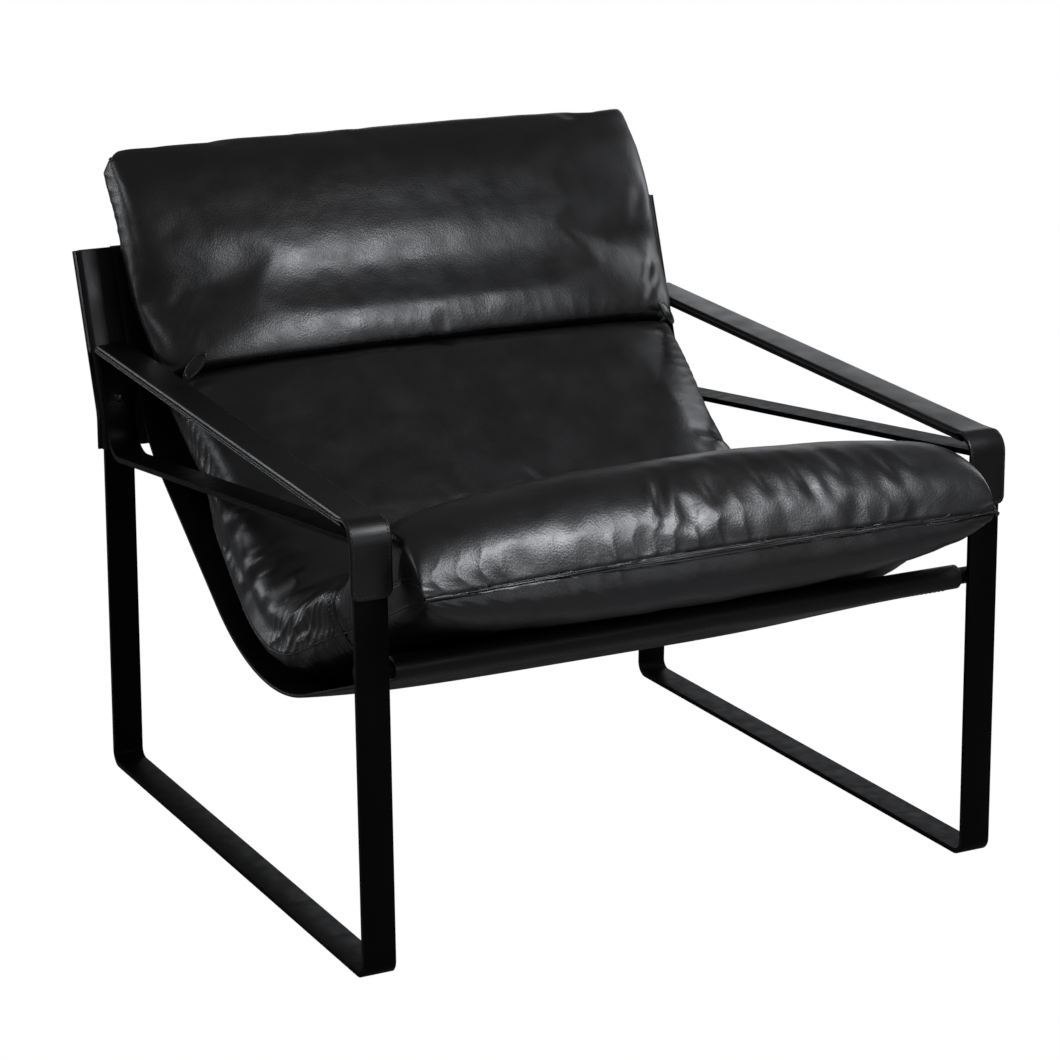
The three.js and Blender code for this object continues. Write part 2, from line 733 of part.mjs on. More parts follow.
function headSection() {
  return padSolid({
    from: headChannelAt + sectionFit / 2,
    to: headTopAt,
    stations: headStations,
    edgeFall: edgeFallPad,
    startPower: padEndPower,
    endPower: headTopPower,
    startWall: channelWallShare,
    endWall: 0,
    lift: noLift,
    startMiddle: padMiddleShare,
    widthAt: headWidthAt,
  });
}

for (const [side, sign] of [['left', -1], ['right', 1]]) {
  addPiece(`leg_frame_${side}`, legFrame(sign * barCentreX), coatedSteel);
  addPiece(`arm_loop_${side}`, armLoop(sign * barCentreX), coatedSteel);
  addPiece(`arm_strap_top_${side}`, topStrap(sign * barCentreX), strapLeather);
  addPiece(`arm_strap_under_${side}`, underStrap(sign * barCentreX), strapLeather);
  addPiece(`arm_screw_${side}`, armScrew(sign * barCentreX), darkScrew);
}
addPiece('front_cross_tube', crossTube(), coatedSteel);
addPiece('top_rail', topRail(), coatedSteel);
addPiece('leather_sling', sling(), strapLeather);
addPiece('pad_front_roll', frontRoll(), padLeather);
addPiece('pad_seat_and_back', seatSection(), padLeather);
addPiece('pad_head', headSection(), padLeather);

// The pieces are drawn about the middle of the side frames, so the whole is moved to its origin
const bounds = new THREE.Box3().setFromObject(group);
const middleOfChair = bounds.getCenter(new THREE.Vector3());
group.position.set(-middleOfChair.x, -middleOfChair.y, -bounds.min.z);

export default group;
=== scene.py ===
# %% [markdown]
# # A leather sling lounge chair
# This lesson dresses a low lounge chair: two side frames of bent flat bar, arms wrapped in
# leather, a saddle leather sling hung between them, and a thick loose pad in three sewn sections.
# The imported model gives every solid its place. The scene adds the looks on top of it.

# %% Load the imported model
import json
import math
import bpy
import bmesh
import numpy as np
from mathutils import Matrix, Vector
from mathutils.bvhtree import BVHTree
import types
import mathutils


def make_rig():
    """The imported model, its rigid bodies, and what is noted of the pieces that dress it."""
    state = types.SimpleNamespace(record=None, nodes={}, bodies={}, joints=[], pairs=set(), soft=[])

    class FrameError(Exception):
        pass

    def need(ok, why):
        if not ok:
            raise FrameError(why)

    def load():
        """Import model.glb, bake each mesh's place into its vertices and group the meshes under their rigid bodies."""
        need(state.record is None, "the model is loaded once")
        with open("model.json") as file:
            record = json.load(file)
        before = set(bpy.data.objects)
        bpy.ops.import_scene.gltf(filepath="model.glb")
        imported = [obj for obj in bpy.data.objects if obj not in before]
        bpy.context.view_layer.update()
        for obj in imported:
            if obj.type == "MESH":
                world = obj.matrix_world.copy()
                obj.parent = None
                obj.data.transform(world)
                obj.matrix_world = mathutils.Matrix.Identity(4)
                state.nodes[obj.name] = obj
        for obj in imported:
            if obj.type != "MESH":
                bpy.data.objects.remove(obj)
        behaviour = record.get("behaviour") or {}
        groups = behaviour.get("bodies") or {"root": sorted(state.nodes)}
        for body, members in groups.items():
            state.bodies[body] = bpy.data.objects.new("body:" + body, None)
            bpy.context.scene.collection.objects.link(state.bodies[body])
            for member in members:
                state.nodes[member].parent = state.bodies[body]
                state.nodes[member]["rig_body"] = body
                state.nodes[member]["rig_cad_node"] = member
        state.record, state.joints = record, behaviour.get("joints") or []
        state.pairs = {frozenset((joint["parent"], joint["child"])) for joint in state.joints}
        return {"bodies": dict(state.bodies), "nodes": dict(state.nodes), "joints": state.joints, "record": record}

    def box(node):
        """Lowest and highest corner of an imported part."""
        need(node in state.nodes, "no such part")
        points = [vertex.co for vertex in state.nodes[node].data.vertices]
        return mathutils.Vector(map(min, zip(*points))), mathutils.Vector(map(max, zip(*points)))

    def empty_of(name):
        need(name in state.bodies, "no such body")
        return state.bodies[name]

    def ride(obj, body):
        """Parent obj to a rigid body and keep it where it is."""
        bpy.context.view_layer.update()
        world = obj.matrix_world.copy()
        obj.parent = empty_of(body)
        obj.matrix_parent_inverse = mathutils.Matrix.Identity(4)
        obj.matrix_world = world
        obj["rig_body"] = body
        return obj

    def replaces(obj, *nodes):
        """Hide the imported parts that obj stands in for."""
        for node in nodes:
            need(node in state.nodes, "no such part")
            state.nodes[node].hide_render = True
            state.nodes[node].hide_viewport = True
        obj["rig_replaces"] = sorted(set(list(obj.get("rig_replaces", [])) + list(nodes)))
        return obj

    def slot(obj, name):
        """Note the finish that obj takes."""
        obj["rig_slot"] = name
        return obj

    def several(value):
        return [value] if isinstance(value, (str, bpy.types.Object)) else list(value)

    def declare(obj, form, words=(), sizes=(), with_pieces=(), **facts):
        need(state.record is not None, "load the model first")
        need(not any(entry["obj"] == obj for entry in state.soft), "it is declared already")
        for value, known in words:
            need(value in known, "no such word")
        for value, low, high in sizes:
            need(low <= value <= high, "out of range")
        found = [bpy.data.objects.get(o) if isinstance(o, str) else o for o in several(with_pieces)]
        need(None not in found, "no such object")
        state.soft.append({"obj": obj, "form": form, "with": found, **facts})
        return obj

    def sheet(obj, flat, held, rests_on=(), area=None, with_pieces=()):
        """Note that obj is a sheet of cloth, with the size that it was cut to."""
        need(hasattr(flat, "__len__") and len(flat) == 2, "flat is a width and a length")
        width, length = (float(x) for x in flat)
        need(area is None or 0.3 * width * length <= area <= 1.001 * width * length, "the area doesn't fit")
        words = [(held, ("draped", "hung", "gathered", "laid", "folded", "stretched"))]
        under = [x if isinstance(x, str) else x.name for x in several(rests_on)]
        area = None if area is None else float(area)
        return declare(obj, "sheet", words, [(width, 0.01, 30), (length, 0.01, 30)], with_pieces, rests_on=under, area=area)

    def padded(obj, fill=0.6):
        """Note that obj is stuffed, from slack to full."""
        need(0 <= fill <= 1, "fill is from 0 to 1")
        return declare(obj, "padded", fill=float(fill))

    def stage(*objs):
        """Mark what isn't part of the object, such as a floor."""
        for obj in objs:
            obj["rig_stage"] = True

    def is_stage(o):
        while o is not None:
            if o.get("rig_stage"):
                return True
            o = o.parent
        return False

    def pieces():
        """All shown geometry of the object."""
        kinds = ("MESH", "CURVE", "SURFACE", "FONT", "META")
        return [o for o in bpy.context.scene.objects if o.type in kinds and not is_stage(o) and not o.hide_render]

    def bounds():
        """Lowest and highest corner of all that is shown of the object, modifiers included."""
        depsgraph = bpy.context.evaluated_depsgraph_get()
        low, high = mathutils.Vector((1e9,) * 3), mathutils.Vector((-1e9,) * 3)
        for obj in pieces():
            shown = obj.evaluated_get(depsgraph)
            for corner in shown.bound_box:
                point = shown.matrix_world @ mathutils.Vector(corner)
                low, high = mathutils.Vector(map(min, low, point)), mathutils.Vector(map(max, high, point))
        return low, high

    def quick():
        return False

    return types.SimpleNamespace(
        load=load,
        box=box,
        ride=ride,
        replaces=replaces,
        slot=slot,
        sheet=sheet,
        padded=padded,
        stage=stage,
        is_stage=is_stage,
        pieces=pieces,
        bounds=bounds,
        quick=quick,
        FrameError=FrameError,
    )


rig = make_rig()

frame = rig.load()
cad_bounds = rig.bounds()
nodes = frame["nodes"]
print("nodes", len(nodes))


# %% [markdown]
# All the leather here follows lines seen from the side, so the first tool is a path in depth and
# height whose corners are rounded. It repeats the few sizes of the model that the paths need.

# %% Sizes of the frames and the sling
MM = 0.001
BAR_WIDTH = 35 * MM
BAR_THICKNESS = 6 * MM
FRAME_WIDTH = 745 * MM
FRAME_DEPTH = 733 * MM
BACK_BEND_HEIGHT = 430 * MM
BACK_BEND_RADIUS = 50 * MM
BACK_LEAN = math.radians(18.3)
REAR_LEG_LEAN = math.radians(2.6)
UPRIGHT_TOP = BACK_BEND_HEIGHT + 179 * MM
ARM_FRONT_HEIGHT = BACK_BEND_HEIGHT + 36.2 * MM
ARM_REAR_HEIGHT = BACK_BEND_HEIGHT + 75.5 * MM
LEATHER_FIT = 0.3 * MM
SLING_LEATHER = 3.6 * MM
TUBE_RADIUS = 9 * MM
TUBE_HEIGHT = 316 * MM
SLING_SAG = 11 * MM
HALF_BAR = BAR_THICKNESS / 2
LEG_CENTRE = FRAME_DEPTH / 2 - HALF_BAR
LEG_INNER = FRAME_WIDTH / 2 - BAR_WIDTH
SLING_HALF_WIDTH = LEG_INNER - 7.5 * MM
FRAME_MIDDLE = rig.box("leg_frame_left")[0].y + FRAME_DEPTH / 2
print("middle of the frames at y =", round(FRAME_MIDDLE, 5))


# %% Rounded paths in depth and height
def new_object(name, data):
    piece = bpy.data.objects.new(name, data)
    bpy.context.scene.collection.objects.link(piece)
    return piece


def spot(y, z):
    return np.array([y, z], float)


def unit(v):
    return v / np.linalg.norm(v)


def turned(v, angle):
    c, s = math.cos(angle), math.sin(angle)
    return np.array([c * v[0] - s * v[1], s * v[0] + c * v[1]])


def left_of(v):
    return np.array([-v[1], v[0]])


def bent_path(corners, spacing=6 * MM):
    """Points along a path and the direction square to each, on the left of the way it runs."""
    points = [(corners[0][0], unit(corners[1][0] - corners[0][0]))]

    def straight_to(end, heading):
        start = points[-1][0]
        parts = max(1, int(math.ceil(np.linalg.norm(end - start) / spacing)))
        for k in range(1, parts + 1):
            points.append((start + (end - start) * k / parts, heading))

    for i in range(1, len(corners) - 1):
        before = unit(corners[i][0] - corners[i - 1][0])
        after = unit(corners[i + 1][0] - corners[i][0])
        turn = math.atan2(before[0] * after[1] - before[1] * after[0], before @ after)
        side = math.copysign(1, turn)
        radius = corners[i][1]
        tangent = radius * math.tan(abs(turn) / 2)
        start = corners[i][0] - before * tangent
        straight_to(start, before)
        centre = start + left_of(before) * side * radius
        steps = max(3, int(math.ceil(abs(turn) * radius / spacing)))
        for k in range(1, steps + 1):
            heading = turned(before, turn * k / steps)
            points.append((centre - left_of(heading) * side * radius, heading))
    straight_to(corners[-1][0], unit(corners[-1][0] - corners[-2][0]))
    places = np.array([p for p, _ in points])
    squares = np.array([left_of(h) for _, h in points])
    return places, squares


def lengths_along(points):
    return np.concatenate([[0], np.cumsum(np.linalg.norm(np.diff(points, axis=0), axis=1))])


def whole_length(points):
    return float(np.linalg.norm(np.diff(points, axis=0), axis=1).sum())


def between(length, lengths, values):
    """The values at a length along a path, from the values at its points."""
    return np.stack([np.interp(length, lengths, values[:, c]) for c in range(values.shape[1])], -1)


def place_on(length, lengths, points, squares):
    """A place on a path and the direction square to the path there."""
    return between(length, lengths, points), unit(between(length, lengths, squares))


def smooth(t):
    c = np.clip(t, 0, 1)
    return c * c * (3 - 2 * c)


# %% Lines of the uprights, arms and sling, drawn about the middle of the frames
SHEET_OFFSET = HALF_BAR + LEATHER_FIT + SLING_LEATHER / 2
DROP_OFFSET = 2 * HALF_BAR + 2 * LEATHER_FIT + SLING_LEATHER
UPRIGHT_HEADING = spot(math.sin(BACK_LEAN), math.cos(BACK_LEAN))
TUBE_DEPTH = -FRAME_DEPTH / 2 + BAR_THICKNESS + LEATHER_FIT + TUBE_RADIUS


def rear_leg_depth(z):
    return LEG_CENTRE - math.tan(REAR_LEG_LEAN) * (z - HALF_BAR)


BACK_BEND_DEPTH = rear_leg_depth(BACK_BEND_HEIGHT)


def upright_depth(z):
    return BACK_BEND_DEPTH + math.tan(BACK_LEAN) * (z - BACK_BEND_HEIGHT)


def down_upright(distance):
    return spot(upright_depth(UPRIGHT_TOP), UPRIGHT_TOP) - UPRIGHT_HEADING * distance


HEM_INNER = TUBE_RADIUS + LEATHER_FIT
HEM_OUTER = HEM_INNER + SLING_LEATHER
HEM_MIDDLE = HEM_INNER + SLING_LEATHER / 2
SLING_LOW = spot(1.5 * MM, 175 * MM)
SLING_LOW_RADIUS = 270 * MM
SLING_BACK_RADIUS = 190 * MM
BACK_CORNER_HEIGHT = BACK_BEND_HEIGHT - 25 * MM
TOP_HEM_DEPTH = 52 * MM


def sling_corners():
    tube = spot(TUBE_DEPTH, TUBE_HEIGHT)
    reach = tube - SLING_LOW
    fall = math.asin(HEM_MIDDLE / np.linalg.norm(reach))
    heading = turned(unit(reach), fall)
    touch = tube + np.array([heading[1], -heading[0]]) * -HEM_MIDDLE
    back = spot(upright_depth(BACK_CORNER_HEIGHT) - SHEET_OFFSET / math.cos(BACK_LEAN), BACK_CORNER_HEIGHT)
    top = down_upright(TOP_HEM_DEPTH / 2) + spot(-SHEET_OFFSET / math.cos(BACK_LEAN), 0)
    return [(touch, 0), (SLING_LOW, SLING_LOW_RADIUS), (back, SLING_BACK_RADIUS), (top, 0)]


def sag_at(x, y):
    """How far the sheet sags between its two side edges, at a place under the seat."""
    across = 1 - np.minimum(1, np.abs(x) / SLING_HALF_WIDTH) ** 4
    start = TUBE_DEPTH + HEM_OUTER
    front = smooth((y - start) / (-60 * MM - start))
    back = smooth((250 * MM - y) / (310 * MM))
    return SLING_SAG * across * np.minimum(front, back)


print("front run starts at", np.round(sling_corners()[0][0], 4))


# %% [markdown]
# The camera comes first. Its place and lens were worked out from the corners of the side frames,
# so no piece is fitted by eye.

# %% Camera
CAMERA_AT = Vector((-1.5408, -3.0701 + FRAME_MIDDLE, 1.2843))
YAW, PITCH, ROLL = math.radians(26.661), math.radians(15.584), math.radians(-0.63)


def add_camera():
    data = bpy.data.cameras.new("photo_camera")
    data.sensor_width = 36
    data.lens = 108.785
    camera = new_object("photo_camera", data)
    forward = Vector((math.sin(YAW) * math.cos(PITCH), math.cos(YAW) * math.cos(PITCH), -math.sin(PITCH)))
    right = Vector((math.cos(YAW), -math.sin(YAW), 0))
    up = right.cross(forward)
    rolled_right = right * math.cos(ROLL) + up * math.sin(ROLL)
    rolled_up = up * math.cos(ROLL) - right * math.sin(ROLL)
    turn = Matrix((rolled_right, rolled_up, -forward)).transposed().to_4x4()
    camera.matrix_world = Matrix.Translation(CAMERA_AT) @ turn
    bpy.context.scene.camera = camera
    return camera


camera = add_camera()
print("camera at", [round(c, 3) for c in CAMERA_AT])


# %% [markdown]
# The studio is a pale floor, a dim grey world and soft lamps. Black leather shows its shape only
# by what it mirrors, so each lamp stands where a highlight in the photograph asks for it: a small
# one near the chair for the front roll and the head section, and others behind the chair for the
# edges of the straps and the folds at the side.

# %% Floor, world and lamps
def new_material(name):
    material = bpy.data.materials.new(name)
    material.use_nodes = True
    tree = material.node_tree
    tree.nodes.clear()
    return material, tree


def link(tree, source, target):
    tree.links.new(source, target)


def add_floor():
    bpy.ops.object.select_all(action="DESELECT")
    bpy.ops.mesh.primitive_plane_add(size=40, location=(0, 6, -0.0005))
    floor = bpy.context.object
    floor.name = "studio_floor"
    material, tree = new_material("pale_floor")
    diffuse = tree.nodes.new("ShaderNodeBsdfDiffuse")
    diffuse.inputs["Color"].default_value = (0.4, 0.4, 0.4, 1)
    glow = tree.nodes.new("ShaderNodeEmission")
    glow.inputs["Strength"].default_value = 1
    rays = tree.nodes.new("ShaderNodeLightPath")
    share = tree.nodes.new("ShaderNodeMath")
    share.operation = "MULTIPLY"
    share.inputs[1].default_value = 0.998
    mix = tree.nodes.new("ShaderNodeMixShader")
    out = tree.nodes.new("ShaderNodeOutputMaterial")
    link(tree, rays.outputs["Is Camera Ray"], share.inputs[0])
    link(tree, share.outputs[0], mix.inputs[0])
    link(tree, diffuse.outputs[0], mix.inputs[1])
    link(tree, glow.outputs[0], mix.inputs[2])
    link(tree, mix.outputs[0], out.inputs["Surface"])
    floor.data.materials.append(material)
    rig.stage(floor)


def add_world():
    world = bpy.data.worlds.new("studio_world")
    world.use_nodes = True
    tree = world.node_tree
    tree.nodes.clear()
    grey = tree.nodes.new("ShaderNodeBackground")
    grey.inputs["Color"].default_value = (0.97, 0.98, 1.0, 1)
    grey.inputs["Strength"].default_value = 0.095
    white = tree.nodes.new("ShaderNodeBackground")
    white.inputs["Strength"].default_value = 1
    rays = tree.nodes.new("ShaderNodeLightPath")
    mix = tree.nodes.new("ShaderNodeMixShader")
    out = tree.nodes.new("ShaderNodeOutputWorld")
    link(tree, rays.outputs["Is Camera Ray"], mix.inputs[0])
    link(tree, grey.outputs[0], mix.inputs[1])
    link(tree, white.outputs[0], mix.inputs[2])
    link(tree, mix.outputs[0], out.inputs["Surface"])
    bpy.context.scene.world = world


def add_lamp(name, place, aim, width, height, power):
    data = bpy.data.lights.new(name, "AREA")
    data.shape = "RECTANGLE"
    data.size = width
    data.size_y = height
    data.energy = power
    data.color = (0.93, 0.95, 1.0)
    lamp = new_object(name, data)
    lamp.visible_camera = False
    lamp.location = place
    lamp.rotation_euler = (Vector(aim) - Vector(place)).to_track_quat("-Z", "Y").to_euler()


add_floor()
add_world()
add_lamp("main_softbox", (0.4, -1.22, 1.5), (0, -0.1, 0.45), 0.5, 0.38, 10)
add_lamp("low_front_softbox", (0.2, -3.0, 0.8), (0, -0.25, 0.42), 1.6, 0.5, 4.5)
add_lamp("left_softbox", (-2.4, 0.8, 2.0), (0, 0, 0.4), 0.7, 0.8, 6)
add_lamp("rear_left_softbox", (-1.6, 2.2, 0.9), (-0.2, 0, 0.4), 0.5, 1.0, 6)
add_lamp("rear_right_softbox", (1.75, 2.6, 1.2), (0.3, 0, 0.5), 1.8, 0.9, 5)
add_lamp("right_softbox", (2.6, 0.6, 1.2), (0, 0, 0.4), 0.7, 1.4, 10)
bpy.context.scene.view_settings.view_transform = "Standard"


# %% [markdown]
# Powder coat is plastic melted on to steel: almost black, satin, with a very fine orange peel.
# A little noise in its roughness and a faint bump are enough, because a flat even black looks
# like a hole in the picture.

# %% Powder coated steel
class Nodes:
    """Short names for the shader nodes that these materials use."""

    def __init__(self, tree):
        self.tree = tree
        self.place = tree.nodes.new("ShaderNodeTexCoord").outputs["Object"]

    def noise(self, scale, detail=3.0, roughness=0.5):
        node = self.tree.nodes.new("ShaderNodeTexNoise")
        node.inputs["Scale"].default_value = scale
        node.inputs["Detail"].default_value = detail
        node.inputs["Roughness"].default_value = roughness
        link(self.tree, self.place, node.inputs["Vector"])
        return node.outputs["Fac"]

    def cells(self, scale):
        node = self.tree.nodes.new("ShaderNodeTexVoronoi")
        node.feature = "F1"
        node.inputs["Scale"].default_value = scale
        link(self.tree, self.place, node.inputs["Vector"])
        return node.outputs["Distance"]

    def remap(self, value, low, high, to_low, to_high):
        node = self.tree.nodes.new("ShaderNodeMapRange")
        for name, number in (("From Min", low), ("From Max", high), ("To Min", to_low), ("To Max", to_high)):
            node.inputs[name].default_value = number
        link(self.tree, value, node.inputs["Value"])
        return node.outputs["Result"]

    def sum(self, first, second, operation="ADD"):
        node = self.tree.nodes.new("ShaderNodeMath")
        node.operation = operation
        for k, value in enumerate((first, second)):
            if isinstance(value, (int, float)):
                node.inputs[k].default_value = value
            else:
                link(self.tree, value, node.inputs[k])
        return node.outputs[0]

    def colours(self, value, stops):
        node = self.tree.nodes.new("ShaderNodeValToRGB")
        ramp = node.color_ramp
        while len(ramp.elements) < len(stops):
            ramp.elements.new(0.5)
        for element, (place, colour) in zip(ramp.elements, stops):
            element.position = place
            element.color = (*colour, 1)
        link(self.tree, value, node.inputs["Fac"])
        return node.outputs["Color"]

    def blend(self, share, first, second):
        node = self.tree.nodes.new("ShaderNodeMix")
        node.data_type = "RGBA"
        link(self.tree, share, node.inputs["Factor"])
        link(self.tree, first, node.inputs["A"])
        link(self.tree, second, node.inputs["B"])
        return node.outputs["Result"]

    def bump(self, height, distance, strength=1.0, under=None):
        node = self.tree.nodes.new("ShaderNodeBump")
        node.inputs["Distance"].default_value = distance
        node.inputs["Strength"].default_value = strength
        link(self.tree, height, node.inputs["Height"])
        if under is not None:
            link(self.tree, under, node.inputs["Normal"])
        return node.outputs["Normal"]

    def surface(self, colour, roughness, normal, **constants):
        shader = self.tree.nodes.new("ShaderNodeBsdfPrincipled")
        out = self.tree.nodes.new("ShaderNodeOutputMaterial")
        link(self.tree, colour, shader.inputs["Base Color"])
        link(self.tree, roughness, shader.inputs["Roughness"])
        link(self.tree, normal, shader.inputs["Normal"])
        for name, value in constants.items():
            shader.inputs[name.replace("_", " ")].default_value = value
        link(self.tree, shader.outputs[0], out.inputs["Surface"])


def powder_coat():
    material, tree = new_material("powder_coated_steel")
    n = Nodes(tree)
    clouds = n.noise(14, 4)
    peel = n.noise(900, 2)
    colour = n.colours(clouds, [(0.3, (0.0014, 0.0014, 0.0015)), (0.7, (0.0024, 0.0024, 0.0026))])
    roughness = n.remap(n.noise(60, 3), 0.3, 0.7, 0.36, 0.5)
    n.surface(colour, roughness, n.bump(peel, 0.00006, 0.6), Metallic=0.0, Specular_IOR_Level=0.1)
    return material


coated_steel = powder_coat()


# %% [markdown]
# The steel bars keep the solids' shapes. A bar cut and bent in a shop has softly rounded edges,
# and those edges are what catches the light, so each copy is merged, cleaned of its flat
# triangles and given a small bevel.

# %% Bars, tube and rail from the model's own solids
def take_copy(name, *node_names):
    """One new object from copies of the named nodes, with its loose triangles merged."""
    bpy.ops.object.select_all(action="DESELECT")
    mesh = bmesh.new()
    for node_name in node_names:
        mesh.from_mesh(nodes[node_name].data)
    bmesh.ops.remove_doubles(mesh, verts=mesh.verts, dist=0.00001)
    bmesh.ops.dissolve_limit(mesh, angle_limit=math.radians(1), verts=mesh.verts, edges=mesh.edges)
    data = bpy.data.meshes.new(name)
    mesh.to_mesh(data)
    mesh.free()
    return new_object(name, data)


def pick(piece):
    bpy.ops.object.select_all(action="DESELECT")
    bpy.context.view_layer.objects.active = piece
    piece.select_set(True)


def with_modifier(piece, kind, **settings):
    pick(piece)
    modifier = piece.modifiers.new(kind.lower(), kind)
    for name, value in settings.items():
        setattr(modifier, name, value)
    bpy.ops.object.modifier_apply(modifier=modifier.name)
    return piece


def shade(piece, angle):
    pick(piece)
    bpy.ops.object.shade_smooth_by_angle(angle=math.radians(angle))
    return piece


def settle(piece, slot, material, *replaced):
    piece.data.materials.clear()
    piece.data.materials.append(material)
    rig.ride(piece, "root")
    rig.slot(piece, slot)
    if replaced:
        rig.replaces(piece, *replaced)
    return piece


def rounded_steel(name, node_name, edge):
    piece = take_copy(name, node_name)
    with_modifier(piece, "BEVEL", width=edge, segments=3, limit_method="ANGLE",
                  angle_limit=math.radians(40))
    shade(piece, 30)
    return settle(piece, "coated_steel", coated_steel, node_name)


for side in ("left", "right"):
    rounded_steel(f"bent_leg_frame_{side}", f"leg_frame_{side}", 0.8 * MM)
    rounded_steel(f"bent_arm_loop_{side}", f"arm_loop_{side}", 0.8 * MM)
rounded_steel("front_tube", "front_cross_tube", 1.2 * MM)
rounded_steel("hem_rail", "top_rail", 0.8 * MM)
print("steel pieces", sum(1 for o in bpy.data.objects if o.name.startswith("bent_")) + 2)


# %% [markdown]
# Two leathers are on this chair. The sling and the arm straps are thick saddle leather: dense,
# satin, with a tight grain. The pad is soft upholstery leather with a cloudy shine, a pebbled
# grain and a brown warmth where the black finish is thin. Pebbles and a finer noise make the
# grain, over faint wide swells, so that no highlight has a smooth edge.

# %% Leather materials
def leather(name, dark, light, warm, warm_share, gloss, grain_scale, grain_depth, cloud_depth, shine):
    material, tree = new_material(name)
    n = Nodes(tree)
    clouds = n.noise(9, 5, 0.6)
    patches = n.noise(3.2, 4, 0.55)
    plain = n.colours(clouds, [(0.32, dark), (0.7, light)])
    brown = n.colours(clouds, [(0.3, warm), (0.75, tuple(1.35 * c for c in warm))])
    colour = n.blend(n.remap(patches, 0.46, 0.68, 0.0, warm_share), plain, brown)
    rough = n.remap(n.noise(26, 3, 0.5), 0.3, 0.7, gloss[0], gloss[1])
    pebbles = n.remap(n.cells(grain_scale), 0.0, 0.7, 1.0, 0.0)
    fine = n.noise(grain_scale * 1.6, 1, 0.5)
    soft = n.bump(n.noise(20, 2, 0.5), cloud_depth, 1.0)
    creased = n.bump(n.noise(120, 2, 0.5), cloud_depth * 0.11, 1.0, soft)
    grain = n.bump(n.sum(pebbles, n.sum(fine, 0.6, "MULTIPLY")), grain_depth, 1.0, creased)
    n.surface(colour, rough, grain, Specular_IOR_Level=shine)
    return material


pad_leather = leather(
    "soft_pad_leather", (0.0042, 0.0041, 0.0045), (0.0078, 0.0076, 0.0083), (0.0105, 0.0085, 0.0072), 0.4,
    (0.32, 0.45), 400, 0.00008, 0.0012, 0.95)
strap_leather = leather(
    "arm_strap_leather", (0.0034, 0.0033, 0.0035), (0.0058, 0.0056, 0.0059), (0.0072, 0.006, 0.0054), 0.25,
    (0.3, 0.42), 520, 0.00005, 0.0003, 0.65)
sling_leather = leather(
    "saddle_sling_leather", (0.0042, 0.004, 0.0041), (0.0078, 0.0074, 0.0073), (0.012, 0.0092, 0.0076), 0.4,
    (0.34, 0.5), 480, 0.00006, 0.0007, 0.38)


def plain_finish(name, dark, light, scales, gloss, depth, **constants):
    """A small part's finish: its colour, its gloss and a faint bump each follow a noise of their own."""
    material, tree = new_material(name)
    n = Nodes(tree)
    colour = n.colours(n.noise(scales[0], 2), [(0.3, dark), (0.7, light)])
    rough = n.remap(n.noise(scales[1], 2), 0.3, 0.7, gloss[0], gloss[1])
    n.surface(colour, rough, n.bump(n.noise(scales[2], 2), depth), **constants)
    return material


thread_finish = plain_finish(
    "waxed_black_thread", (0.026, 0.0255, 0.0255), (0.048, 0.047, 0.047), (500, 900, 2600), (0.4, 0.6),
    0.00008)
# The edge finish is a grey several times lighter than the strap leather: edge paint with a painted highlight along the
# strap edges.
strap_edge_paint_and_highlight = plain_finish(
    "leather_edge_paint_and_highlight", (0.02, 0.0195, 0.0195), (0.04, 0.039, 0.039), (300, 400, 900), (0.28, 0.42),
    0.00005)
print("materials", [m.name for m in bpy.data.materials])


# %% [markdown]
# Leather pieces are sheets. Each one starts as a grid whose points are laid along a path, gets
# its thickness from Solidify, and has its cut edge rounded by a small bevel, as a burnished edge
# is. A row of stitches is one small spindle copied along a line.

# %% Sheets, sweeps and stitches
def new_mesh(name, verts, faces):
    data = bpy.data.meshes.new(name)
    data.from_pydata(verts, [], faces)
    data.update()
    return new_object(name, data)


def grid_piece(name, points, closed_across=False, caps=False):
    """A mesh from rows of points. Rows can close on themselves, and the ends can be capped."""
    rows, columns = points.shape[0], points.shape[1]
    faces = []
    wrap = columns if closed_across else columns - 1
    for i in range(rows - 1):
        for j in range(wrap):
            k = (j + 1) % columns
            faces.append((i * columns + j, i * columns + k, (i + 1) * columns + k, (i + 1) * columns + j))
    if caps:
        faces.append(tuple(range(columns - 1, -1, -1)))
        faces.append(tuple(range((rows - 1) * columns, rows * columns)))
    piece = new_mesh(name, points.reshape(-1, 3).tolist(), faces)
    piece.data.validate()
    piece.data.update()
    return piece


def face_outwards(piece):
    mesh = bmesh.new()
    mesh.from_mesh(piece.data)
    bmesh.ops.remove_doubles(mesh, verts=mesh.verts, dist=0.00001)
    bmesh.ops.recalc_face_normals(mesh, faces=mesh.faces)
    if mesh.calc_volume(signed=True) < 0:
        bmesh.ops.reverse_faces(mesh, faces=mesh.faces)
    mesh.to_mesh(piece.data)
    mesh.free()
    return piece


def swept(name, rings, angle):
    """A closed form from rings of points, with both ends capped."""
    piece = grid_piece(name, np.array(rings), closed_across=True, caps=True)
    face_outwards(piece)
    return shade(piece, angle)


def leather_sheet(name, points, thickness, edge=0.9 * MM):
    piece = grid_piece(name, points)
    with_modifier(piece, "SOLIDIFY", thickness=thickness, offset=0, use_even_offset=True)
    face_outwards(piece)
    with_modifier(piece, "BEVEL", width=edge, segments=3, limit_method="ANGLE", angle_limit=math.radians(50))
    return shade(piece, 40)


def spindle():
    """One stitch along X, a few dozen faces, that every row of stitches copies."""
    bpy.ops.object.select_all(action="DESELECT")
    bpy.ops.mesh.primitive_uv_sphere_add(segments=6, ring_count=5, radius=0.5)
    piece = bpy.context.object
    piece.rotation_euler = (0, math.pi / 2, 0)
    bpy.ops.object.transform_apply(location=False, rotation=True, scale=False)
    co = np.array([v.co for v in piece.data.vertices])
    faces = [tuple(f.vertices) for f in piece.data.polygons]
    bpy.data.objects.remove(piece)
    return co, faces


STITCH_SHAPE, STITCH_FACES = spindle()


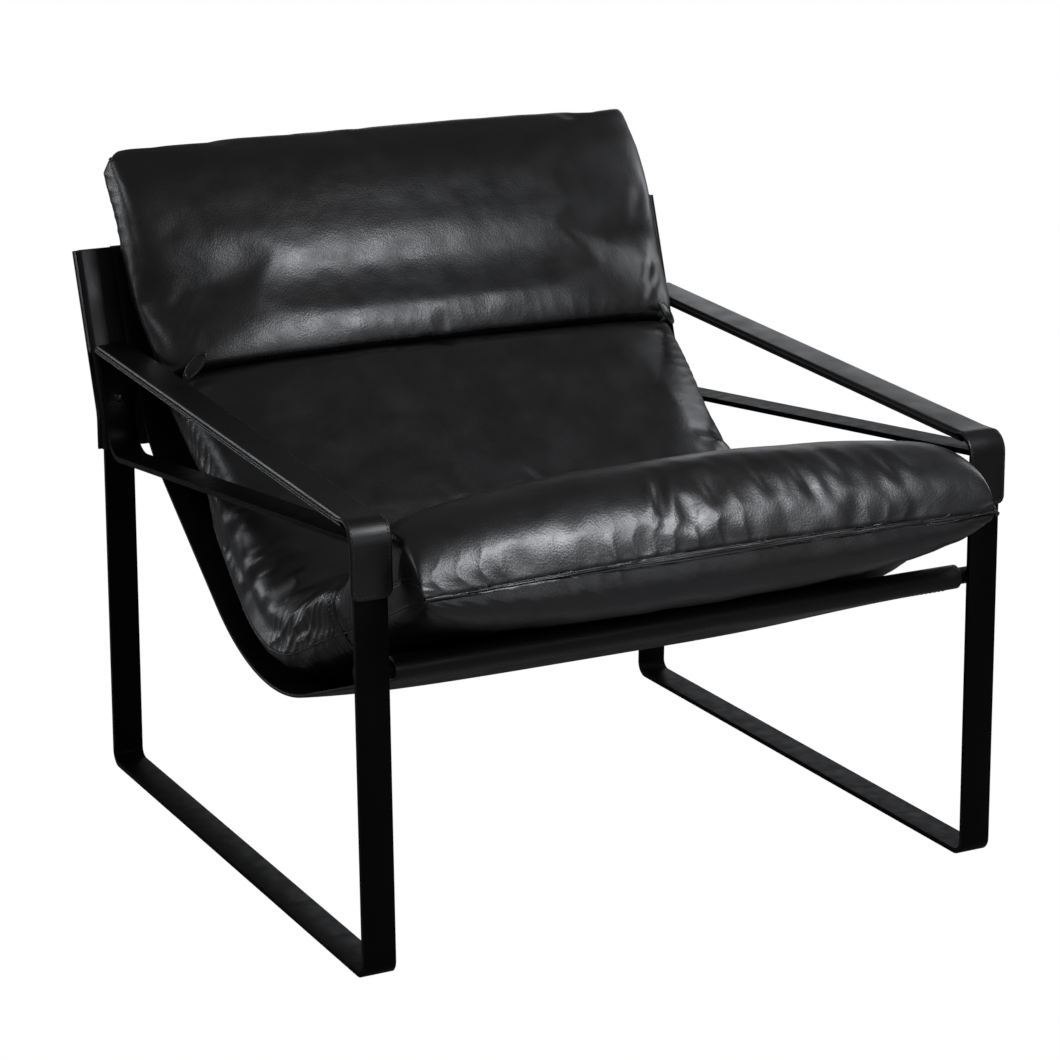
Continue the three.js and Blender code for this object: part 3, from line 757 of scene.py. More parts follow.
def stitch_rows(name, rows, pitch=4.2 * MM, length=3.4 * MM, gauge=1.25 * MM, slot="strap_leather"):
    """Rows is a list of (points, outward directions). A stitch lies every pitch along each row."""
    verts, faces = [], []
    for points, outs in rows:
        points, outs = np.asarray(points, float), np.asarray(outs, float)
        along = lengths_along(points)
        count = int(along[-1] / pitch)
        for k in range(count):
            s = (k + 0.5) * along[-1] / count
            at, out = place_on(s, along, points, outs)
            ahead = between(min(s + 1 * MM, along[-1]), along, points)
            behind = between(max(s - 1 * MM, 0), along, points)
            way = unit(ahead - behind)
            cross = np.cross(out, way)
            shape = (STITCH_SHAPE[:, :1] * length) * way + (STITCH_SHAPE[:, 1:2] * gauge) * cross
            shape = shape + (STITCH_SHAPE[:, 2:3] * gauge * 0.8) * out
            base = len(verts)
            verts.extend((shape + at).tolist())
            faces.extend([tuple(base + v for v in f) for f in STITCH_FACES])
    piece = new_mesh(name, verts, faces)
    face_outwards(piece)
    shade(piece, 80)
    return settle(piece, slot, thread_finish)


def placed(x, yz):
    """Points in the chair's frame from places across it and spots drawn about the frames."""
    x = np.broadcast_to(x, yz.shape[:-1])
    return np.stack([x, yz[..., 0] + FRAME_MIDDLE, yz[..., 1]], axis=-1)


# %% [markdown]
# The sling is one sheet. It wraps the front tube, runs down and back under the seat, climbs
# between the uprights and folds over the rail. It sags a little between its edges, and the two
# folds are closed with a row of stitches each.

# %% Sling sheet
WRAP_POINTS = 44
TOP_RUN_END = 3 * MM


def tube_wrap():
    """The fold round the tube, from its stitched end over the top to the run under it."""
    touch = sling_corners()[0][0]
    tube = spot(TUBE_DEPTH, TUBE_HEIGHT)
    down = unit(touch - tube)
    sweep = math.radians(309)
    points, squares = [], []
    for k in range(WRAP_POINTS):
        angle = -sweep * (1 - k / WRAP_POINTS)
        out = turned(down, angle)
        points.append(tube + out * HEM_MIDDLE)
        squares.append(-out)
    return np.array(points), np.array(squares)


def rail_fold():
    """Over the top of the rail and down its rear face to the stitched edge."""
    forward = left_of(UPRIGHT_HEADING)
    centre = down_upright(TOP_RUN_END)
    points, squares = [], []
    for k in range(1, 13):
        out = turned(forward, -math.pi * k / 12)
        points.append(centre + out * SHEET_OFFSET)
        squares.append(out)
    for distance, gap in ((16, 5.1), (28, 5.1), (37, 5.0), (41, 3.6), (45, 0.6), (48, -1.3), (56, -1.5)):
        points.append(down_upright(distance * MM) - forward * gap * MM)
        squares.append(-forward)
    return np.array(points), np.array(squares)


def sling_path():
    wrap, wrap_square = tube_wrap()
    corners = sling_corners()
    corners[-1] = (down_upright(TOP_RUN_END) + left_of(UPRIGHT_HEADING) * SHEET_OFFSET, 0)
    run, run_square = bent_path(corners, 9 * MM)
    fold, fold_square = rail_fold()
    return np.vstack([wrap, run, fold]), np.vstack([wrap_square, run_square, fold_square])


def across_places(half_width, columns):
    t = np.linspace(-1, 1, columns)
    return half_width * np.sin(t * math.pi / 2) * 0.35 + half_width * t * 0.65


def sling_points(columns=49):
    path, _ = sling_path()
    points = np.zeros((len(path), columns, 3))
    for i, (y, z) in enumerate(path):
        high = z > BACK_BEND_HEIGHT + 60 * MM
        half = LEG_INNER - 3.2 * MM if high else SLING_HALF_WIDTH
        x = across_places(half, columns)
        sag = sag_at(x, np.full(columns, y)) if z < TUBE_HEIGHT else np.zeros(columns)
        points[i] = np.stack([x, np.full(columns, y + FRAME_MIDDLE), z - sag], axis=-1)
    return points


sling_sheet = leather_sheet("sling_sheet", sling_points(), SLING_LEATHER)
settle(sling_sheet, "sling_leather", sling_leather, "leather_sling")
path_length = whole_length(sling_path()[0])
print("sling sheet is cut", round(2 * SLING_HALF_WIDTH, 3), "by", round(path_length, 3))
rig.sheet(sling_sheet, flat=(2 * SLING_HALF_WIDTH, path_length), held="hung",
         rests_on=["front_cross_tube", "top_rail"])


# %% [markdown]
# A sleeve goes round each upright, and its two layers are sewn to each other past the bar's outer
# edge. That double edge is a narrow sheet of its own, with a row of stitches along its front.

# %% Sling sleeves round the uprights
SLEEVE_BOTTOM = BACK_BEND_HEIGHT - 40 * MM


def upright_line():
    corners = [
        (down_upright(-2.1 * MM), 0),
        (spot(BACK_BEND_DEPTH, BACK_BEND_HEIGHT), BACK_BEND_RADIUS),
        (spot(rear_leg_depth(SLEEVE_BOTTOM), SLEEVE_BOTTOM), 0),
    ]
    return bent_path(corners, 7 * MM)


def sleeve_section():
    """Half round the bar: (distance out from the inner edge of the bar, offset towards the sitter)."""
    outer, d = BAR_WIDTH, SHEET_OFFSET
    section = [(-3.4 * MM, d), (2 * MM, d), (12 * MM, d), (24 * MM, d), (outer - 2 * MM, d)]
    for k in range(1, 10):
        angle = math.pi * k / 10
        section.append((outer - 1.4 * MM + d * math.sin(angle) * 0.72, d * math.cos(angle)))
    section += [(outer - 2 * MM, -d), (24 * MM, -d), (12 * MM, -d), (2 * MM, -d)]
    section += [(-4 * MM, -d * 0.6), (-8 * MM, 0.0), (-12 * MM, 1.3 * MM), (-24 * MM, 1.4 * MM)]
    return np.array(section)


def sleeve(side, sign):
    path, squares = upright_line()
    section = sleeve_section()
    points = np.zeros((len(path), len(section), 3))
    for i in range(len(path)):
        yz = path[i] - squares[i] * section[:, 1:2]
        points[i] = placed(sign * (LEG_INNER + section[:, 0]), yz)
    piece = leather_sheet(f"sling_sleeve_{side}", points, SLING_LEATHER)
    settle(piece, "sling_leather", sling_leather, "leather_sling")
    girth = whole_length(section)
    length = whole_length(path)
    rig.sheet(piece, flat=(girth, length), held="stretched", rests_on=[f"leg_frame_{side}"])
    return piece


FLANGE_START = BAR_WIDTH + 2.6 * MM
FLANGE_END = BAR_WIDTH + 7.4 * MM
STITCH_LIFT = SLING_LEATHER / 2 + 0.1 * MM


def sleeve_flange(side, sign):
    """The two layers of the sleeve sewn together past the outer edge of the upright."""
    path, squares = upright_line()
    places = np.linspace(FLANGE_START, FLANGE_END, 4)
    points = np.array([placed(sign * (LEG_INNER + places), np.tile(q, (4, 1))) for q in path])
    piece = leather_sheet(f"sleeve_flange_{side}", points, SLING_LEATHER, 0.7 * MM)
    settle(piece, "sling_leather", sling_leather)
    row = placed(sign * (LEG_INNER + FLANGE_START + 2.9 * MM), path + squares * STITCH_LIFT)
    outs = np.concatenate([np.zeros((len(path), 1)), squares], axis=1)
    stitch_rows(f"sleeve_stitches_{side}", [(row[2:-2], outs[2:-2])], slot="sling_leather", gauge=1.0 * MM)


for side, sign in (("left", -1), ("right", 1)):
    sleeve(side, sign)
    sleeve_flange(side, sign)
print("sleeve bottoms at", round(SLEEVE_BOTTOM, 3))


# %% [markdown]
# The arm leather is a top strap and an under strap sewn to each other past both edges of the
# bar. Their sections are drawn once as closed outlines and swept along the arm. The top strap
# runs on round the front corner, where its section opens into a flat lap with a rounded end. The
# cut edges are painted, and each layer gets a slim cord along both edges in a grey much lighter
# than the strap, which is a painted highlight for the light that those edges catch.

# %% Arm straps
ARM_LEATHER = 2 * MM
FLANGE_LEATHER = 2.35 * MM
STRAP_HALF = BAR_WIDTH / 2 + 4.6 * MM
LAP_LEATHER = 3.4 * MM
ARM_LAP_HEIGHT = ARM_FRONT_HEIGHT - 71.2 * MM
LAP_CORNER = 9 * MM
STRAP_BEND_RADIUS = 17 * MM
LAP_LENGTH = ARM_FRONT_HEIGHT - STRAP_BEND_RADIUS - ARM_LAP_HEIGHT
BAR_CENTRE_X = (FRAME_WIDTH - BAR_WIDTH) / 2
ARM_REAR_DEPTH = upright_depth(ARM_REAR_HEIGHT) - DROP_OFFSET / math.cos(BACK_LEAN)
STRAP_END = ARM_REAR_DEPTH - 9 * MM


def arm_height(y):
    return ARM_FRONT_HEIGHT + (ARM_REAR_HEIGHT - ARM_FRONT_HEIGHT) * (y + FRAME_DEPTH / 2) / FRAME_DEPTH


def rounded_lap(distance):
    """Half width of the lap at a distance from its lower end."""
    if distance >= LAP_CORNER:
        return STRAP_HALF
    gone = LAP_CORNER - max(distance, 0)
    return STRAP_HALF - LAP_CORNER + math.sqrt(max(LAP_CORNER ** 2 - gone ** 2, 0))


def hat_section(open_share, half):
    """The top strap's closed section. open_share goes from 0, closed on the bar, to 1, a flat lap."""
    cover = BAR_WIDTH / 2 + ARM_LEATHER
    seam = LEATHER_FIT / 2
    crown = HALF_BAR + LEATHER_FIT + ARM_LEATHER
    lap_low = HALF_BAR + LEATHER_FIT
    lap_high = lap_low + LAP_LEATHER
    flange_top = seam + FLANGE_LEATHER

    def mix(a, b):
        return a + (b - a) * open_share

    edge = half
    shoulder = min(cover, edge - 0.8 * MM)
    top = []
    for t in np.linspace(-1, 1, 15):
        x = t * (shoulder - 1.3 * MM)
        bow = 0.35 * MM * (1 - t * t)
        top.append((x, mix(crown + bow, lap_high + bow)))
    left = [
        (-edge, mix(seam + 0.5 * MM, lap_low + 0.6 * MM)),
        (-edge, mix(flange_top - 0.6 * MM, lap_high - 0.9 * MM)),
        (-edge + 0.6 * MM, mix(flange_top, lap_high - 0.1 * MM)),
        (-shoulder - 0.5 * MM, mix(flange_top, lap_high)),
        (-shoulder, mix(flange_top + 0.5 * MM, lap_high)),
        (-shoulder + 0.4 * MM, mix(crown - 0.8 * MM, lap_high)),
    ]
    inner = min(BAR_WIDTH / 2 + LEATHER_FIT, edge - 1.6 * MM)
    under = [
        (edge - 0.5 * MM, mix(seam, lap_low)),
        (inner, mix(seam, lap_low)),
        (inner, mix(lap_low - 0.3 * MM, lap_low)),
        (inner - 0.4 * MM, lap_low),
    ]

    def mirrored(side):
        return [(-x, h) for x, h in reversed(side)]

    return np.array(left + top + mirrored(left) + under + [(0.0, lap_low)] + mirrored(under))


def strap_line():
    rear = spot(STRAP_END, arm_height(STRAP_END))
    corner = spot(-LEG_CENTRE, arm_height(-LEG_CENTRE))
    low = spot(-LEG_CENTRE, ARM_LAP_HEIGHT)
    return bent_path([(low, 0), (corner, STRAP_BEND_RADIUS), (rear, 0)], 3 * MM)


def open_share_at(length):
    """How far the section is opened into the flat lap, at a length from the lap's end."""
    return float(1 - smooth((length - LAP_LENGTH - 14 * MM) / (30 * MM)))


def top_strap(side, sign):
    path, squares = strap_line()
    lengths = lengths_along(path)
    rows = []
    for s in np.concatenate([np.linspace(0, LAP_CORNER, 9), lengths[lengths > LAP_CORNER + 1 * MM]]):
        at, out = place_on(s, lengths, path, squares)
        section = hat_section(open_share_at(s), max(rounded_lap(s), 2 * MM))
        rows.append(placed(sign * BAR_CENTRE_X + section[:, 0], at + out * section[:, 1:2]))
    piece = swept(f"arm_leather_top_{side}", rows, 50)
    settle(piece, "strap_leather", strap_leather, f"arm_strap_top_{side}")
    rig.sheet(piece, flat=(2 * STRAP_HALF, float(lengths[-1])), held="stretched", rests_on=[f"arm_loop_{side}"])
    return piece


def under_strap(side, sign):
    start = 20 * MM - FRAME_DEPTH / 2
    ends = [(spot(y, arm_height(y)), 0) for y in (start, STRAP_END)]
    path, squares = bent_path(ends, 8 * MM)
    section = hat_section(0.0, STRAP_HALF)
    x = sign * BAR_CENTRE_X + section[:, 0]
    rows = [placed(x, at - out * section[:, 1:2]) for at, out in zip(path, squares)]
    piece = swept(f"arm_leather_under_{side}", rows, 50)
    settle(piece, "strap_leather", strap_leather, f"arm_strap_under_{side}")
    length = float(np.linalg.norm(path[-1] - path[0]))
    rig.sheet(piece, flat=(2 * STRAP_HALF, length), held="stretched", rests_on=[f"arm_loop_{side}"])
    return piece


def strap_stitches(side, sign):
    path, squares = strap_line()
    lengths = lengths_along(path)
    flange_top = LEATHER_FIT / 2 + FLANGE_LEATHER
    lap_top = HALF_BAR + LEATHER_FIT + LAP_LEATHER + 0.05 * MM
    rows = []
    for edge in (-1, 1):
        points, outs = [], []
        for s in np.arange(7 * MM, lengths[-1] - 3 * MM, 3 * MM):
            at, out = place_on(s, lengths, path, squares)
            open_share = open_share_at(s)
            height = flange_top + (lap_top - flange_top) * open_share
            x = sign * BAR_CENTRE_X + edge * (STRAP_HALF - (2.1 + 0.9 * open_share) * MM)
            points.append(placed(x, at + out * height))
            outs.append((0, out[0], out[1]))
        rows.append((points, outs))
    low, outs = [], []
    for t in np.linspace(-1, 1, 25):
        x = (STRAP_HALF - 3 * MM) * t
        drop = 3.2 * MM
        reach = abs(x) - (STRAP_HALF - LAP_CORNER)
        if reach > 0:
            inner = LAP_CORNER - 3 * MM
            drop += inner - math.sqrt(max(inner ** 2 - min(reach, inner) ** 2, 0))
        spot_at = spot(-LEG_CENTRE - HALF_BAR - LEATHER_FIT - LAP_LEATHER - 0.25 * MM, ARM_LAP_HEIGHT + drop)
        low.append(placed(sign * BAR_CENTRE_X + x, spot_at))
        outs.append((0, -1, 0))
    rows.append((low, outs))
    return stitch_rows(f"arm_stitches_{side}", rows)


def strap_edges(side, sign):
    """The painted cut edges of both strap layers, as slim cords on the rim of each layer, in a lighter grey that
    paints in their highlight.
    """
    path, squares = strap_line()
    lengths = lengths_along(path)
    start = ARM_FRONT_HEIGHT - ARM_LAP_HEIGHT + 34 * MM
    turn = np.arange(10) * math.tau / 10
    for layer, height in (("top", LEATHER_FIT / 2 + 1.25 * MM), ("under", -LEATHER_FIT / 2 - 1.25 * MM)):
        for name, edge in (("outer", 1), ("inner", -1)):
            x = sign * (BAR_CENTRE_X + edge * STRAP_HALF) + 0.55 * MM * np.cos(turn)
            rings = []
            for s in np.arange(start, lengths[-1] - 2 * MM, 6 * MM):
                at, out = place_on(s, lengths, path, squares)
                rings.append(placed(x, at + out * (height + 0.95 * MM * np.sin(turn))[:, None]))
            piece = swept(f"arm_edge_{layer}_{name}_{side}", rings, 60)
            # The cords take the lighter edge finish, a painted highlight along each edge.
            settle(piece, "strap_leather", strap_edge_paint_and_highlight)


for side, sign in (("left", -1), ("right", 1)):
    top_strap(side, sign)
    under_strap(side, sign)
    strap_edges(side, sign)
    strap_stitches(side, sign)
print("arm leather done")


# %% Sling stitches
HEM_FACES_APART = 5.1 * MM + SLING_LEATHER / 2 + 1.6 * MM


def sling_seams():
    """One row under the tube's hem, and one on each face of the top hem."""
    path, squares = sling_path()
    forward = left_of(UPRIGHT_HEADING)
    x = np.linspace(-SLING_HALF_WIDTH + 4 * MM, SLING_HALF_WIDTH - 4 * MM, 40)
    rows = []
    for at, out, lift in (
            (path[WRAP_POINTS + 2], -squares[WRAP_POINTS + 2], STITCH_LIFT),
            (path[-2], forward, HEM_FACES_APART),
            (path[-2], -forward, STITCH_LIFT)):
        points = placed(x, np.tile(at + out * lift, (len(x), 1)))
        rows.append((points, np.tile((0, out[0], out[1]), (len(x), 1))))
    return rows


stitch_rows("sling_hem_stitches", sling_seams(), pitch=5.4 * MM, length=4 * MM, slot="sling_leather")


# %% [markdown]
# Screws: small dome heads at the uprights. The model's dome is right, so the copy only gets a
# finer, satin finish.

# %% Screws
dome_finish = plain_finish(
    "black_dome_screw", (0.03, 0.03, 0.031), (0.05, 0.05, 0.052), (200, 300, 900), (0.26, 0.36), 0.00003,
    Metallic=0.7)
for side in ("left", "right"):
    screw = take_copy(f"dome_screw_{side}", f"arm_screw_{side}")
    shade(screw, 60)
    settle(screw, "screw_steel", dome_finish, f"arm_screw_{side}")


# %% [markdown]
# The pad is the piece that the eye goes to. It is three soft boxes that lie along one line over
# the sling. Each section is a closed form around that line: a top panel that rolls down over the
# sides to a seam, and a plain panel under it. The cloth tool then inflates it a little, with the
# seams held still, so that the leather puckers along them as sewn leather does.

# %% The line that the pad lies on
PAD_FIT = 0.8 * MM
ROLL_LENGTH = 222 * MM
FLOP_LEAN = math.radians(34)
FLOP_RADIUS = 150 * MM
HEAD_OVERHANG = 101 * MM


def meet(p, d, q, e):
    gap = q - p
    return p + d * ((gap[0] * e[1] - gap[1] * e[0]) / (d[0] * e[1] - d[1] * e[0]))


def rest_corners():
    inner = SLING_LEATHER / 2 + PAD_FIT
    corners = sling_corners()
    front = unit(corners[1][0] - corners[0][0])
    middle = unit(corners[2][0] - corners[1][0])
    back = UPRIGHT_HEADING
    on_front = corners[0][0] + left_of(front) * inner
    on_middle = corners[1][0] + left_of(middle) * inner
    on_back = corners[3][0] + left_of(back) * inner
    flop = spot(math.sin(FLOP_LEAN), math.cos(FLOP_LEAN))
    tangent = FLOP_RADIUS * math.tan((FLOP_LEAN - BACK_LEAN) / 2)
    top = on_back + back * (TOP_HEM_DEPTH / 2 + 2 * SLING_LEATHER + tangent)
    return [
        (on_front - front * ROLL_LENGTH, 0),
        (meet(on_front, front, on_middle, middle), SLING_LOW_RADIUS - inner),
        (meet(on_middle, middle, on_back, back), SLING_BACK_RADIUS - inner),
        (top, FLOP_RADIUS),
        (top + flop * 2 * HEAD_OVERHANG, 0),
    ]


REST_POINTS, REST_SQUARES = bent_path(rest_corners(), 4 * MM)
REST_LENGTHS = lengths_along(REST_POINTS)


def rest_at(length):
    return place_on(length, REST_LENGTHS, REST_POINTS, REST_SQUARES)


def length_where(test):
    return float(next(s for s, p in zip(REST_LENGTHS, REST_POINTS) if test(p)))


ROLL_END = length_where(lambda p: p[0] > TUBE_DEPTH + 106 * MM)
ROLL_START = ROLL_END - ROLL_LENGTH
HEAD_START = length_where(lambda p: p[0] > 0 and p[1] > BACK_BEND_HEIGHT + 17 * MM)
HEAD_END = length_where(lambda p: p[0] > 0 and p[1] > UPRIGHT_TOP) + HEAD_OVERHANG
ON_TUBE = length_where(lambda p: p[0] > TUBE_DEPTH + HEM_OUTER / 2)
print("pad sections end at", [round(s, 3) for s in (ROLL_START, ROLL_END, HEAD_START, HEAD_END)])


# %% Heights of the pad's seam and how far its sides pull in
def roundness(share, power):
    return np.maximum(0, 1 - np.minimum(1.0, np.abs(share)) ** power) ** (1 / power)


def even_shares(count, half, height, powers, walls=(0.0, 0.0)):
    """Shares from -1 to 1 whose points are evenly spaced along a soft profile, with its fullness."""
    fine = np.sin(np.linspace(-math.pi / 2, math.pi / 2, 4001))
    power = np.where(fine < 0, powers[0], powers[1])
    wall = np.where(fine < 0, walls[0], walls[1])
    fullness = wall + (1 - wall) * roundness(fine, power)
    fullness[0], fullness[-1] = walls
    steps = np.hypot(np.diff(fine * half), np.diff(fullness * height))
    along = np.concatenate([[0], np.cumsum(steps)])
    even = np.linspace(0, along[-1], count)
    return np.interp(even, along, fine), np.interp(even, along, fullness)


def station_value(stations, length):
    i = 0
    while i < len(stations) - 2 and stations[i + 1][0] < length:
        i += 1
    (a, low), (b, high) = stations[i], stations[i + 1]
    return low + (high - low) * float(smooth((length - a) / (b - a)))


def roll_lift(length):
    start = ROLL_END - ROLL_LENGTH * 0.18
    return (HEM_MIDDLE + HEM_OUTER - SLING_LEATHER / 2) * float(smooth((start - length) / (start - ON_TUBE)))


SEAT_LOW = ROLL_END + (HEAD_START - ROLL_END) * 0.3
BACK_LOW = ROLL_END + (HEAD_START - ROLL_END) * 0.62
BACK_MIDDLE = ROLL_END + (HEAD_START - ROLL_END) * 0.78
HEAD_MIDDLE = HEAD_START + (HEAD_END - HEAD_START) * 0.45
THICKNESS = [
    (ROLL_START, 180 * MM),
    (ROLL_START + ROLL_LENGTH * 0.22, 180 * MM),
    (ROLL_START + ROLL_LENGTH * 0.55, 170 * MM),
    (ROLL_END, 130 * MM),
    (SEAT_LOW, 122 * MM),
    (BACK_LOW, 134 * MM),
    (HEAD_START, 148 * MM),
    (HEAD_MIDDLE, 112 * MM),
    (HEAD_END, 76 * MM),
]
SEAM_HEIGHTS = [
    (ROLL_START, 66 * MM), (ROLL_END, 52 * MM), (SEAT_LOW, 38 * MM), (BACK_LOW, 47 * MM),
    (BACK_MIDDLE, 55 * MM), (HEAD_START, 42 * MM), (HEAD_MIDDLE, 16 * MM), (HEAD_END, 22 * MM),
]
SEAM_INSETS = [
    (ROLL_START, 1 * MM), (ROLL_END, 8 * MM), (SEAT_LOW, 1 * MM), (BACK_LOW, 10 * MM),
    (BACK_MIDDLE, 26 * MM), (HEAD_START, 20 * MM), (HEAD_MIDDLE, 5 * MM), (HEAD_END, 0 * MM),
]
SIDE_FALLS = [(ROLL_START, 24 * MM), (ROLL_END, 14 * MM), (SEAT_LOW, 12 * MM), (HEAD_END, 12 * MM)]
ROLL_HALF = LEG_INNER - 9.5 * MM
PAD_HALF = LEG_INNER - 5.5 * MM
HEAD_HALF = LEG_INNER - 1.5 * MM
PAD_HALVES = [(ROLL_START, ROLL_HALF), (ROLL_END, PAD_HALF), (HEAD_START, PAD_HALF), (HEAD_END, HEAD_HALF)]
HEAD_CHAMFER = 15 * MM
RIGHT_CHAMFER_SHARE = 0.1
SEAM_GAP = 0.25 * MM
print("pad is", round(2 * HEAD_HALF, 3), "wide at the head and", round(HEAD_END - ROLL_START, 3), "long")


# %% Pad sections as closed forms
class Section:
    """One sewn section of the pad: its piece, and where each point of its grid is in the mesh."""

    def __init__(self, name, start, end, powers, low_powers, walls, fades, rows, side_powers,
                 columns=(108, 46)):
        self.name, self.start, self.end, self.fades = name, start, end, fades
        self.top_columns, self.ring = columns[0], columns[0] + columns[1] - 2
        middle, half = (start + end) / 2, (end - start) / 2
        wide = station_value(PAD_HALVES, middle)
        height = station_value(THICKNESS, middle) * 0.85
        blunt = max(side_powers)
        top_t, _ = even_shares(columns[0], wide, height, (blunt, blunt))
        low_t, low_side = even_shares(columns[1], wide, 0.3 * height, (2.6, 2.6))
        self.t = np.concatenate([top_t, low_t[::-1][1:-1]])
        self.low_side = low_side[::-1][1:-1]
        shares, fulls = even_shares(rows, half, height, powers, walls)
        power = np.where(shares < 0, low_powers[0], low_powers[1])
        wall = np.where(shares < 0, walls[0], walls[1])
        low_fulls = wall + (1 - wall) * roundness(shares, power)
        low_fulls[[0, -1]] = walls
        self.lengths = middle + half * shares
        side = side_powers[0] + (side_powers[1] - side_powers[0]) * (shares + 1) / 2
        self.grid = np.array([self.ring_at(*row) for row in zip(self.lengths, fulls, low_fulls, side)])
        self.piece = grid_piece(name, self.grid, closed_across=True)
        self.close_ends(rows)
        face_outwards(self.piece)
        self.index = self.mesh_places()

    def ring_at(self, length, full, low_full, side_power):
        """One ring of points round the section, at a length along the line that the pad lies on."""
        at, out = rest_at(length)
        t = self.t
        top = np.arange(self.ring) < self.top_columns
        base = roll_lift(length)
        fall = station_value(SIDE_FALLS, length)
        thick = station_value(THICKNESS, length) - fall * t * t
        waist = station_value(SEAM_HEIGHTS, length) + 0.3 * fall * (1 - t * t)
        nearest = self.fades[0] if length < (self.start + self.end) / 2 else self.fades[1]
        fade = nearest * smooth((np.abs(t) - 0.88) / 0.1)
        side = np.concatenate([roundness(t[:self.top_columns], side_power), self.low_side])
        side[[0, self.top_columns - 1]] = 0
        full = np.where(top, full, low_full)
        rise = (full + (1 - full) * fade) * side
        height = waist + (np.where(top, thick, base) - waist) * rise
        inset = station_value(SEAM_INSETS, length) * (1 - np.where(top, rise, 0)) ** 2
        chamfer = max(0.0, HEAD_CHAMFER - (HEAD_END - length)) * np.where(t < 0, 1.0, RIGHT_CHAMFER_SHARE)
        x = (station_value(PAD_HALVES, length) - inset - chamfer) * t
        rise_to = at[1] + out[1] * height - sag_at(x, at[0])
        return np.stack([x, at[0] + out[0] * height + FRAME_MIDDLE, rise_to], -1)

    def close_ends(self, rows):
        mesh = bmesh.new()
        mesh.from_mesh(self.piece.data)
        mesh.verts.ensure_lookup_table()
        for row in (0, rows - 1):
            ring = [mesh.verts[row * self.ring + j] for j in range(self.ring)]
            tall = max(abs(ring[j].co.z - ring[-j].co.z) for j in range(1, 20))
            if tall > 1 * MM:
                mesh.faces.new(ring if row == 0 else ring[::-1])
        bmesh.ops.triangulate(mesh, faces=[f for f in mesh.faces if len(f.verts) > 4])
        mesh.to_mesh(self.piece.data)
        mesh.free()

    def mesh_places(self):
        """Which mesh point stands at each place of the grid, after doubles were merged."""
        co = np.array([v.co for v in self.piece.data.vertices])
        places = {tuple(np.round(q, 5)): k for k, q in enumerate(co)}
        flat = self.grid.reshape(-1, 3)
        found = np.zeros(len(flat), int)
        for k, q in enumerate(flat):
            key = tuple(np.round(q, 5))
            found[k] = places[key] if key in places else int(np.argmin(((co - q) ** 2).sum(1)))
        return found.reshape(self.grid.shape[:2])

    def grid_now(self):
        co = np.zeros(len(self.piece.data.vertices) * 3)
        self.piece.data.vertices.foreach_get("co", co)
        return co.reshape(-1, 3)[self.index]


roll = Section("front_roll", ROLL_START, ROLL_END - SEAM_GAP, (2.3, 5.0), (4.0, 5.0), (0.0, 0.5), (0, 1), 40,
               (12.0, 5.0))
seat = Section("seat_and_back_pad", ROLL_END + SEAM_GAP, HEAD_START - SEAM_GAP, (5.0, 5.0), (5.0, 5.0),
               (0.5, 0.5), (1, 0), 86, (5.0, 4.5))
head = Section("head_pad", HEAD_START + SEAM_GAP, HEAD_END, (5.0, 9.0), (5.0, 6.0), (0.5, 0.0), (0, 0), 48,
               (5.0, 12.0))
print("pad points", [len(part.piece.data.vertices) for part in (roll, seat, head)])


# %% [markdown]
# Real leather is cut a little larger than the stuffing it covers, and most of the spare is eased
# in along the seams and down the sides. So the cloth tool is told to grow the leather there and
# hardly at all in the middle of a panel. Seams, end walls and the panel on the sling stay put.

# %% Inflate the sections with the seams held
def ease_weights(section, near):
    """1 where leather is eased in: within a distance of the ends, and on the side panels."""
    rows, ring = section.index.shape
    lengths = section.lengths
    to_end = np.minimum(lengths - lengths[0], lengths[-1] - lengths)[:, None]
    ends = np.clip(1 - to_end / near, 0, 1)
    top = section.top_columns
    flank = np.clip((np.abs(section.t[:top]) - 0.93) / 0.05, 0, 1)[None, :]
    weight = np.zeros((rows, ring))
    weight[:, :top] = np.maximum(ends, flank)
    return weight


def inflate(section, pressure, grow, ease, cap, near):
    """Runs the cloth tool on one section and caps how far any point may move."""
    piece = section.piece
    hold = np.zeros(section.index.shape)
    hold[:, section.top_columns:] = 1
    hold[:, 0] = hold[:, section.top_columns - 1] = 1
    hold[0, :] = hold[-1, :] = 1
    weight = ease_weights(section, near)
    held = piece.vertex_groups.new(name="held")
    eased = piece.vertex_groups.new(name="eased")
    for index, firm, loose in zip(section.index.reshape(-1), hold.reshape(-1), weight.reshape(-1)):
        held.add([int(index)], float(firm), "REPLACE")
        eased.add([int(index)], float(loose), "REPLACE")
    cloth = piece.modifiers.new("cloth", "CLOTH")
    settings = cloth.settings
    settings.vertex_group_mass, settings.vertex_group_shrink = "held", "eased"
    settings.shrink_min, settings.shrink_max = -grow, -ease
    settings.quality, settings.mass, settings.air_damping = 6, 0.4, 2
    settings.tension_stiffness = settings.compression_stiffness = 40
    settings.shear_stiffness, settings.bending_stiffness = 15, 10
    settings.use_pressure, settings.uniform_pressure_force = True, pressure
    settings.effector_weights.gravity = 0
    cloth.collision_settings.use_collision = False
    co = np.array([v.co for v in piece.data.vertices])
    for frame_number in range(1, 21):
        bpy.context.scene.frame_set(frame_number)
    shaped = piece.evaluated_get(bpy.context.evaluated_depsgraph_get())
    moved = np.array([v.co for v in shaped.data.vertices])
    piece.modifiers.remove(cloth)
    piece.vertex_groups.clear()
    bpy.context.scene.frame_set(1)
    step = moved - co
    size = np.linalg.norm(step, axis=1, keepdims=True)
    step *= np.minimum(1, cap / np.maximum(size, 1e-9))
    piece.data.vertices.foreach_set("co", (co + step).reshape(-1))
    piece.data.update()
    print(piece.name, "moved on average", round(float(size.mean()), 4), "at most", round(float(size.max()), 4))


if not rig.quick():
    inflate(roll, 4.0, 0.002, 0.012, 9 * MM, 30 * MM)
    inflate(seat, 3.0, 0.001, 0.02, 9 * MM, 35 * MM)
    inflate(head, 3.0, 0.001, 0.012, 9 * MM, 35 * MM)


